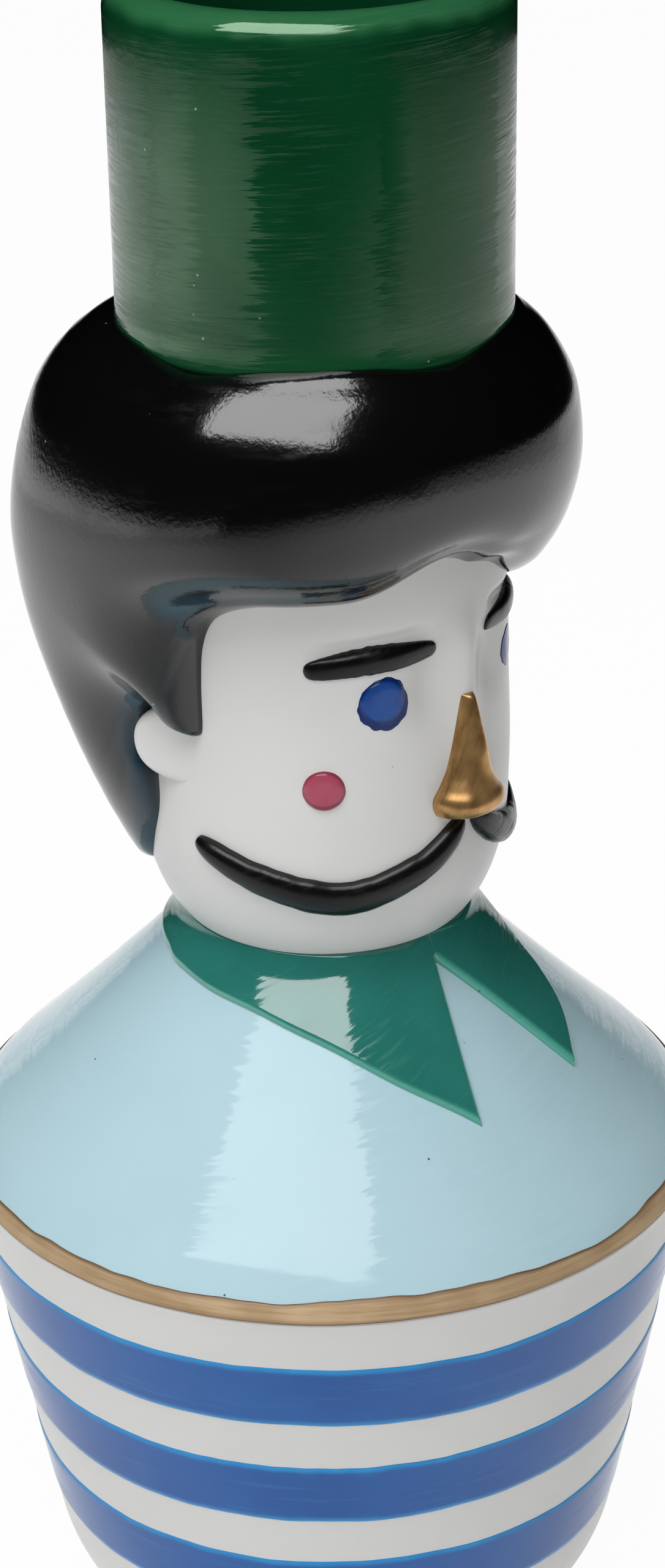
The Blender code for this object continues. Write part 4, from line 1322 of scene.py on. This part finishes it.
@dataclass
class Hair:
    """Heavy swept hair with a rolled edge and a groove along the hairline."""

    head: Head
    front_rows: tuple = (
        (0.0, 27.7), (0.5, 28.2), (1.2, 28.9), (4.0, 31.6), (8.0, 34.0), (12.0, 35.3), (20.0, 35.7),
        (28.0, 33.9), (36.0, 30.6), (44.0, 28.4), (52.0, 26.3), (60.0, 25.2), (84.0, 24.6),
    )
    back_rows: tuple = (
        (0.0, 27.9), (1.0, 30.4), (4.0, 34.6), (8.0, 38.0), (12.0, 40.0), (20.0, 42.6), (28.0, 44.2),
        (36.0, 44.4), (44.0, 43.4), (52.0, 41.3), (60.0, 38.2), (68.0, 34.3), (76.0, 29.9), (84.0, 26.2),
    )
    side_rows: tuple = (
        (0.0, 27.8), (1.0, 29.6), (4.0, 33.2), (8.0, 35.8), (12.0, 37.2), (20.0, 38.7), (28.0, 39.2),
        (34.0, 38.6), (40.0, 36.9), (46.0, 34.4), (52.0, 32.0), (58.0, 30.2), (66.0, 29.0), (84.0, 26.5),
    )
    side_spread: float = 46.0
    fringe: tuple = (
        (Side.RIGHT, (
            (0.0, 59.0), (6.0, 60.3), (12.0, 61.0), (18.0, 60.6), (24.0, 59.4), (31.0, 57.9), (38.6, 56.9),
            (48.0, 56.6), (57.0, 56.4), (66.0, 56.1),
        )),
        (Side.LEFT, ((0.0, 59.0), (12.0, 57.2), (26.0, 53.6), (40.0, 50.9), (54.0, 50.8), (66.0, 52.0))),
    )
    temple: tuple = ((75.0, 54.8), (81.5, 52.6), (85.2, 48.5), (86.2, 43.0), (86.2, 37.2), (87.0, 35.6))
    round_ear: tuple = (
        (89.5, 35.3), (93.5, 35.4), (97.0, 36.2), (100.0, 37.8), (103.6, 38.7), (107.4, 37.2), (109.9, 34.5),
        (110.2, 31.0), (108.6, 26.0), (109.4, 20.5), (117.0, 13.8), (128.0, 9.4), (141.0, 7.6), (160.0, 7.2),
        (180.0, 7.2),
    )
    edge_height: float = 2.6 * MM
    edge_round: float = 2.2 * MM
    nape_round: float = 1.0 * MM
    nape_turn: Pair = (112.0, 135.0)
    least: float = 0.3 * MM
    sink: float = 0.15 * MM
    bed: float = 0.6 * MM
    ramp: float = 1.2
    ramp_blend: float = 3 * MM
    smoothing: int = 24
    smooth_up_to: Pair = (0.4, 0.65)
    quiff_raise: float = 2.5
    quiff_raise_turn: Pair = (-35.0, 40.0)
    quiff_raise_drop: Pair = (0.0, 20.0)
    groove: float = 0.22 * MM
    groove_place: float = 3.5 * MM
    groove_width: float = 1.1 * MM
    groove_break: tuple = ((8.0, 20.0), (60.0, 80.0))
    groove_end: Pair = (84.0, 92.0)
    patch_size: float = 9 * MM
    front_tint: float = 1.3 * MM
    front_tint_turn: tuple = ((26.0, 34.0), (84.0, 90.0))
    front_patches: Pair = (0.1, 0.5)
    back_tint: Pair = (1.4 * MM, 1.2 * MM)
    back_tint_turn: Pair = (89.0, 95.0)
    back_patches: Pair = (0.0, 0.35)
    paint_dip: float = 1.3 * MM
    paint_dip_turn: Pair = (36.0, 15.0)
    facing: float = -48.0
    rows: int = 70
    coarse_rows: int = 24
    bed_rows: int = 8
    columns: int = 190
    evening: int = 900
    top_smoothing: int = 3000
    top_lift: float = 0.35 * MM
    top_line: Triple = (0.25 * MM, 0.6, 8.0)
    row_power: float = 1.9
    overlap: int = 40

    def hairline(self, side: Side, fringe: Sequence) -> Grid:
        """Edge of the hair on one side, from the front to the back.

        Args:
            side: The figure's side.
            fringe: The (angle in degrees, rise in millimetres) points over the forehead.

        Returns:
            (angle, height) points.
        """
        form = self.head.form
        scale = form.head_radius / MM
        knots = [(math.radians(a) * scale, rise) for a, rise in (*fringe, *self.temple, *self.round_ear)]
        line = flowing(knots, self.columns) * MM
        return np.column_stack([side.value * line[:, 0] / form.head_radius, form.neck + line[:, 1]])

    def full(self, angle: Grid, height: Grid) -> Grid:
        """Radius of the whole mass of hair.

        Args:
            angle: Angles from the front.
            height: Heights.

        Returns:
            The radii.
        """
        drop = (self.head.form.head_top - height) / MM
        raised = bump(np.degrees(angle), *self.quiff_raise_turn)
        drop = drop + self.quiff_raise * ease(drop, *self.quiff_raise_drop) * raised
        rows = (self.front_rows, self.back_rows, self.side_rows)
        front, back, side = (profile(row)(drop) * MM for row in rows)
        reach, shift = (front + back) / 2, (back - front) / 2
        whole = np.sqrt(reach ** 2 - (shift * np.sin(angle)) ** 2) - shift * np.cos(angle)
        off_side = np.clip((np.abs(np.degrees(angle)) - 90) / self.side_spread, -1, 1)
        return whole + (side - whole) * np.cos(off_side * math.pi / 2) ** 2

    def shell(self) -> Shell:
        """Mass of hair as one skin, from the hairline up to the hat.

        Returns:
            The closed shell, with its groove marked.
        """
        right, left = (self.hairline(side, fringe) for side, fringe in self.fringe)
        edge = np.vstack([left, right[-2:0:-1]])
        angle, height = self.grid(edge)
        inset = self.inset(angle, height, edge)
        skin = self.head.surface(angle, height)
        turn = wrapped(angle)
        aside = np.abs(turn)
        mass = np.maximum(self.full(np.radians(turn), height) - skin, self.least)
        nape = ease(aside, *self.nape_turn)
        edge_round = self.edge_round + (self.nape_round - self.edge_round) * nape
        rolled = np.sqrt(1 - (1 - np.clip(inset / edge_round, 0, 1)) ** 2)
        grown = self.edge_height + self.ramp * inset
        body = (mass + grown - np.hypot(mass - grown, self.ramp_blend)) / 2
        upper = ease(np.linspace(0, 1, self.rows), *self.smooth_up_to)[:, None]
        body += (smoothed(body, self.smoothing) - body) * (1 - upper)
        starts, ends = self.groove_break
        lined = (1 - ease(turn, *starts) * (1 - ease(turn, *ends))) * (1 - ease(aside, *self.groove_end))
        cut = self.groove * bump(inset, self.groove_place, self.groove_width) * lined
        thick = np.maximum(body, self.least) * rolled - cut
        face = spun(skin + thick - self.sink, height, angle)
        under = np.linspace(self.rows - 1, 0, self.bed_rows).astype(int)
        bed = self.head.on(angle[under], height[under], -self.bed)
        rim = self.tinted(inset, aside, face)
        return Shell(np.concatenate([face, bed]), np.concatenate([rim, np.zeros(bed.shape[:2])]))

    def tinted(self, inset: Grid, aside: Grid, face: Grid) -> Grid:
        """Where blue shows through the black: in patches along the groove and behind the ears.

        Args:
            inset: Distances from the hairline.
            aside: Angles from the front, without their sign, in degrees.
            face: The points.

        Returns:
            The tint, from 0 to 1.
        """
        patchy = np.array([[0.5 + noise.noise(Vector(p) / self.patch_size) for p in row] for row in face])
        starts, ends = self.front_tint_turn
        front = bump(inset, self.groove_place, self.front_tint)
        front = front * ease(aside, *starts) * (1 - ease(aside, *ends))
        behind = bump(inset, *self.back_tint) * ease(aside, *self.back_tint_turn)
        blue = front * ease(patchy, *self.front_patches) + behind * ease(patchy, *self.back_patches)
        return np.minimum(blue, 1.0)

    def grid(self, edge: Grid) -> tuple[Grid, Grid]:
        """Grid over the head from the hairline up to the hat, finest at the hairline.

        Args:
            edge: (angle, height) points of the hairline.

        Returns:
            The angle and the height of each point.
        """
        scale = self.head.form.head_radius
        spread = np.unwrap(edge[:, 0])
        smooth = spread.copy()
        for _ in range(self.top_smoothing):
            ahead, behind = np.roll(smooth, -1), np.roll(smooth, 1)
            ahead[-1] += TURN
            behind[0] -= TURN
            smooth = (ahead + 2 * smooth + behind) / 4
        off_camera = np.abs(wrapped(smooth) - self.facing)
        dip = self.paint_dip * bump(off_camera, *self.paint_dip_turn)
        top = self.head.form.head_top + self.top_lift + wander(smooth, *self.top_line) - dip
        share = np.linspace(0, 1, self.coarse_rows)[:, None]
        around = spread + (smooth - spread) * (1 - (1 - share) ** 2)
        coarse = np.stack([around * scale, edge[:, 1] + (top - edge[:, 1]) * share], axis=-1)
        coarse = evened(coarse, np.array([TURN * scale, 0.0]), self.evening)
        place = np.linspace(0, 1, self.rows) ** self.row_power * (self.coarse_rows - 1)
        low = np.minimum(place.astype(int), self.coarse_rows - 2)
        fine = coarse[low] + (coarse[low + 1] - coarse[low]) * (place - low)[:, None, None]
        return fine[..., 0] / scale, fine[..., 1]

    def inset(self, angle: Grid, height: Grid, edge: Grid) -> Grid:
        """Distance of points on the unrolled head from the hairline.

        Args:
            angle: Angles of the points.
            height: Heights of the points.
            edge: (angle, height) points of the hairline.

        Returns:
            The distances.
        """
        scale = self.head.form.head_radius
        line = np.column_stack([np.unwrap(edge[:, 0]) * scale, edge[:, 1]])
        turn = np.array([TURN * scale, 0.0])
        line = np.vstack([line[-self.overlap:] - turn, line, line[:self.overlap] + turn])
        return distance(np.stack([angle * scale, height], axis=-1), line)

    def build(self, looks: Looks) -> None:
        """Builds and dresses the hair."""
        set_down("hair", self.shell().mesh("hair", True), Paint.BLACK, "hair_cap", looks)


@dataclass
class Hat:
    """Tall open hat, the vase's mouth, with a rolled lip."""

    form: Form
    bore: float = 21.5 * MM
    outer_round: float = 3.6 * MM
    inner_round: float = 1.4 * MM
    foot_fillet: float = 0.1 * MM
    fillet_height: float = 2.4 * MM
    fillet_power: float = 2.2
    lip_gap: float = 1 * MM
    foot_drop: float = 1.6 * MM
    tenon: float = 20.5 * MM
    tenon_depth: float = 7 * MM
    tenon_wall: float = 3 * MM
    # Reach of the lighter edge colour: thin glaze at the lip and hem, and a painted highlight on the lip.
    thin_glaze_and_highlight: float = 3 * MM
    thin_and_highlight_from: float = 1 * MM
    thin_and_highlight_line: Triple = (1 * MM, 0.3, 5.0)
    hem_share: float = 0.25
    stray: Triple = (0.003, 0.8, 11.0)

    def shell(self) -> Shell:
        """Hat turned from its profile, with the least waver.

        Returns:
            The closed shell.
        """
        top, radius = self.form.hat_top, self.form.hat_radius
        foot = self.form.head_top + SEAM
        inside = self.tenon - self.tenon_wall
        line = [(inside, foot - self.tenon_depth), (inside, foot)]
        levels = np.linspace(foot + self.tenon_wall, top - 2 * self.inner_round, 8)
        line += [(self.bore, z) for z in levels]
        line += arc((self.bore + self.inner_round, top - self.inner_round), self.inner_round, 180, 90, 8)
        line += arc((radius - self.outer_round, top - self.outer_round), self.outer_round, 90, 0, 14)
        for z in np.linspace(top - self.outer_round - self.lip_gap, foot - self.foot_drop, 48):
            spread = max(0.0, (foot + self.fillet_height - z) / self.fillet_height) ** self.fillet_power
            line.append((radius + self.foot_fillet * spread, z))
        line += [(self.tenon, foot - self.foot_drop), (self.tenon, foot - self.tenon_depth)]
        radii, heights = np.array(line).T[:, :, None]
        angles = full_turn()
        waver = 1 + wander(angles, *self.stray)[None, :] * ease(heights, foot, top)
        # Lighter edge colour where the glaze runs thin at the lip and the hem; on the lip it is also a
        # painted highlight.
        uneven = wander(angles, *self.thin_and_highlight_line)[None, :]
        lip, hem = (1 - ease(end + uneven, self.thin_and_highlight_from, self.thin_glaze_and_highlight)
                    for end in (top - heights, heights - foot))
        rim = np.maximum(lip, self.hem_share * hem)
        return Shell(spun(radii * waver, heights, angles[None, :]), rim)

    def build(self, looks: Looks) -> None:
        """Builds and dresses the hat."""
        set_down("hat", self.shell().mesh("hat", True), Paint.HAT, "hat_neck", looks)


@dataclass
class Lamp:
    """Soft box: where it hangs from the vase, its size, its brightness and how far down it faces."""

    name: str
    azimuth: float
    elevation: float
    distance: float
    size: Pair
    glow: float
    facing: float
    in_gloss: bool = True


@dataclass
class Studio:
    """White table in a dark room, a soft box over the camera's left, cards at both sides, and the camera."""

    look_azimuth: float = -48.0
    stand_off: float = 431.85 * MM
    eye_height: float = 339.2 * MM
    pitch: float = 0.4421
    yaw: float = 0.0029
    roll: float = -0.0173
    focal: float = 76.7
    table: float = 0.70
    table_fade: Pair = (0.12, 0.85)
    side_fade: Pair = (0.45, 1.1)
    room: float = 4.0
    aim: float = 0.16
    card_height: float = 0.085
    card_fade: tuple = ((0.0, 1.0), (0.55, 0.9), (1.0, 0.3))
    fill: float = 0.2
    floor_reach: Triple = (0.0, 0.4, 40.0)
    floor_colour: tuple = (0.9, 0.9, 0.9, 1.0)
    floor_share: float = 0.965
    sheen_lift: float = 0.5 * MM
    sheen_turn: Pair = (-8.0, 38.0)
    sheen_front: float = 0.58
    sheen_steps: tuple[float, float, int] = (0.08, 1.12, 27)
    lamps: tuple[Lamp, ...] = (
        Lamp("soft_box", -21.0, 67.3, 0.816, (0.62, 0.6), 4.1, 38.3),
        Lamp("key_fill", -75.0, 72.0, 0.8, (0.7, 0.6), 1.0, 72.0, False),
        Lamp("front_fill", -17.0, -3.0, 1.0, (1.6, 0.2), 2.5, -3.0, False),
    )
    cards: tuple = (
        ("left_card", 1.35, (
            (-235, 0.7), (-182, 0.8), (-130, 0.8), (-103, 0.93), (-100, 0.6), (-97, 0.95), (-85, 1.0),
            (-74, 0.95), (-66, 0.62), (-52, 0.6), (-40, 0.52), (-31, 0.45),
        )),
        ("right_card", 0.68, (
            (38, 0.0), (48, 0.2), (54, 0.6), (75, 0.7), (95, 0.8), (118, 0.85), (182, 0.9), (225, 0.9),
        )),
    )

    def turned(self, x: float, y: float, z: float) -> Vector:
        """A place given in the camera's frame, where it looks along +Y, turned into the vase's."""
        return Matrix.Rotation(math.radians(self.look_azimuth), 3, "Z") @ Vector((x, y, z))

    def camera(self) -> None:
        """Camera at the photograph's place, lens and tilt."""
        level = math.cos(self.pitch)
        forward = Vector((math.sin(self.yaw) * level, math.cos(self.yaw) * level, -math.sin(self.pitch)))
        across = Vector((math.cos(self.yaw), -math.sin(self.yaw), 0.0))
        upward = across.cross(forward)
        right = math.cos(self.roll) * across + math.sin(self.roll) * upward
        top = math.cos(self.roll) * upward - math.sin(self.roll) * across
        axes = Matrix((self.turned(*right), self.turned(*top), self.turned(*-forward))).transposed()
        data = bpy.data.cameras.new("camera")
        data.lens = self.focal
        data.clip_start = 0.01
        eye = placed("camera", data)
        place = self.turned(0.0, -self.stand_off, self.eye_height)
        eye.matrix_world = Matrix.Translation(place) @ axes.to_4x4()
        bpy.context.scene.camera = eye

    def lamp(self, made: Lamp) -> None:
        """Hangs one soft box.

        Args:
            made: Its place, size and brightness.
        """
        turn = math.radians(made.azimuth)
        way, face = (
            self.turned(math.sin(turn) * math.cos(rise), -math.cos(turn) * math.cos(rise), math.sin(rise))
            for rise in (math.radians(made.elevation), math.radians(made.facing))
        )
        data = bpy.data.lights.new(made.name, "AREA")
        data.shape = "RECTANGLE"
        data.size, data.size_y = made.size
        data.energy = LAMP_POWER * made.glow * made.size[0] * made.size[1]
        box = placed(made.name, data)
        box.location = way * made.distance + Vector((0, 0, self.aim))
        box.rotation_mode = "QUATERNION"
        box.rotation_quaternion = face.to_track_quat("Z", "Y")
        box.visible_glossy = made.in_gloss

    def stage_piece(self, name: str, points: Grid, glow: float, shares: Grid | None = None) -> None:
        """Adds a stage surface: a white one, or one that only gloss shows.

        Args:
            name: Its name.
            points: Grid of points.
            glow: Brightness, where 1 is white.
            shares: Shares of that brightness over a surface that only gloss shows.
        """
        rows, columns = points.shape[:2]
        faces = [(i * columns + j, i * columns + j + 1, (i + 1) * columns + j + 1, (i + 1) * columns + j)
                 for i in range(rows - 1) for j in range(columns - 1)]
        mesh = bpy.data.meshes.new(name)
        mesh.from_pydata(points.reshape(-1, 3).tolist(), [], faces)
        material = bpy.data.materials.new(name)
        graph = Graph(material)
        colour = self.floor_colour if shares is None else BLACK
        matt = graph.node("ShaderNodeBsdfDiffuse", {}, {"Color": colour})
        light = graph.node("ShaderNodeEmission", {}, {"Color": WHITE_LIGHT, "Strength": glow})
        lit = self.floor_share * self.seen(graph) if shares is None else graph.rim()
        both = graph.node("ShaderNodeMixShader", {}, {0: lit, 1: matt, 2: light})
        graph.node("ShaderNodeOutputMaterial", {}, {"Surface": both})
        mesh.materials.append(material)
        piece = placed(name, mesh)
        if shares is not None:
            values = shares.astype(np.float32).ravel()
            mesh.attributes.new(RIM, "FLOAT", "POINT").data.foreach_set("value", values)
            for ray in ("camera", "diffuse", "transmission", "shadow"):
                setattr(piece, "visible_" + ray, False)

    @staticmethod
    def seen(graph: Graph) -> Value:
        """Rays that show the background: to the camera, in gloss and through glass.

        Args:
            graph: The graph that asks.

        Returns:
            1 for such a ray.
        """
        rays = [graph.node("ShaderNodeLightPath", output=f"Is {kind} Ray")
                for kind in ("Camera", "Glossy", "Transmission")]
        return (rays[0] + rays[1] + rays[2]).step(0.0, 1.0)

    def sweep(self, turns: Grid) -> Grid:
        """Angles round the vase from angles off the camera's side, in degrees."""
        return np.radians(turns + self.look_azimuth)[None, :]

    def gloss(self) -> None:
        """What the glaze mirrors: a table that fades into a dark room, and a card at each side."""
        turns = np.linspace(-180, 180, 97)
        reach = np.array([0.0, *np.linspace(*self.sheen_steps), self.room])[:, None]
        beside = 1 - bump(turns, *self.sheen_turn)[None, :]
        near, far = (a + (b - a) * beside for a, b in zip(self.table_fade, self.side_fade))
        floor = spun(reach, self.sheen_lift, self.sweep(turns))
        dimmed = self.sheen_front + (1 - self.sheen_front) * beside
        shares = (1 - ease((reach - near) / (far - near), 0, 1)) * dimmed
        self.stage_piece("table_sheen", floor, 1.0, shares)
        rise = np.linspace(0, math.pi / 2, 12)[:, None]
        walls = spun(self.room * np.cos(rise), self.room * np.sin(rise), self.sweep(turns))
        self.stage_piece("dark_walls", walls, 0.0, np.zeros(walls.shape[:2]))
        for name, glow, knots in self.cards:
            places, shares = np.array(knots, float).T
            turns = np.linspace(places[0], places[-1], 70)
            heights, fades = np.array(self.card_fade).T[:, :, None]
            card = spun(self.table, heights * self.card_height, self.sweep(turns))
            self.stage_piece(name, card, glow, fades * np.interp(turns, places, shares))

    def build(self) -> None:
        """Builds the stage, the lamps, the world and the camera."""
        turns = np.linspace(0, TURN, 97)[None, :]
        ground = spun(np.array(self.floor_reach)[:, None], 0.0, turns)
        self.stage_piece("table", ground, 1.0)
        self.gloss()
        for made in self.lamps:
            self.lamp(made)
        world = bpy.data.worlds.new("studio")
        graph = Graph(world)
        strength = self.fill + self.seen(graph) * (1 - self.fill)
        light = graph.node("ShaderNodeBackground", {}, {"Color": WHITE_LIGHT, "Strength": strength})
        graph.node("ShaderNodeOutputWorld", {}, {"Surface": light})
        bpy.context.scene.world = world
        bpy.context.scene.view_settings.view_transform = "Standard"
        self.camera()


def main() -> None:
    """Builds the vase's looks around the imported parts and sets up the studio."""
    logging.basicConfig(level=logging.INFO, format="%(message)s")
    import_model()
    form = Form.from_frame()
    looks = {paint: finish.material(paint.label) for paint, finish in FINISHES.items()}
    head = Head(form)
    Cup(form).build(looks)
    Shoulders(form).build(looks)
    head.build(looks)
    Hair(head).build(looks)
    Hat(form).build(looks)
    Studio().build()


if __name__ == "__main__":
    main()
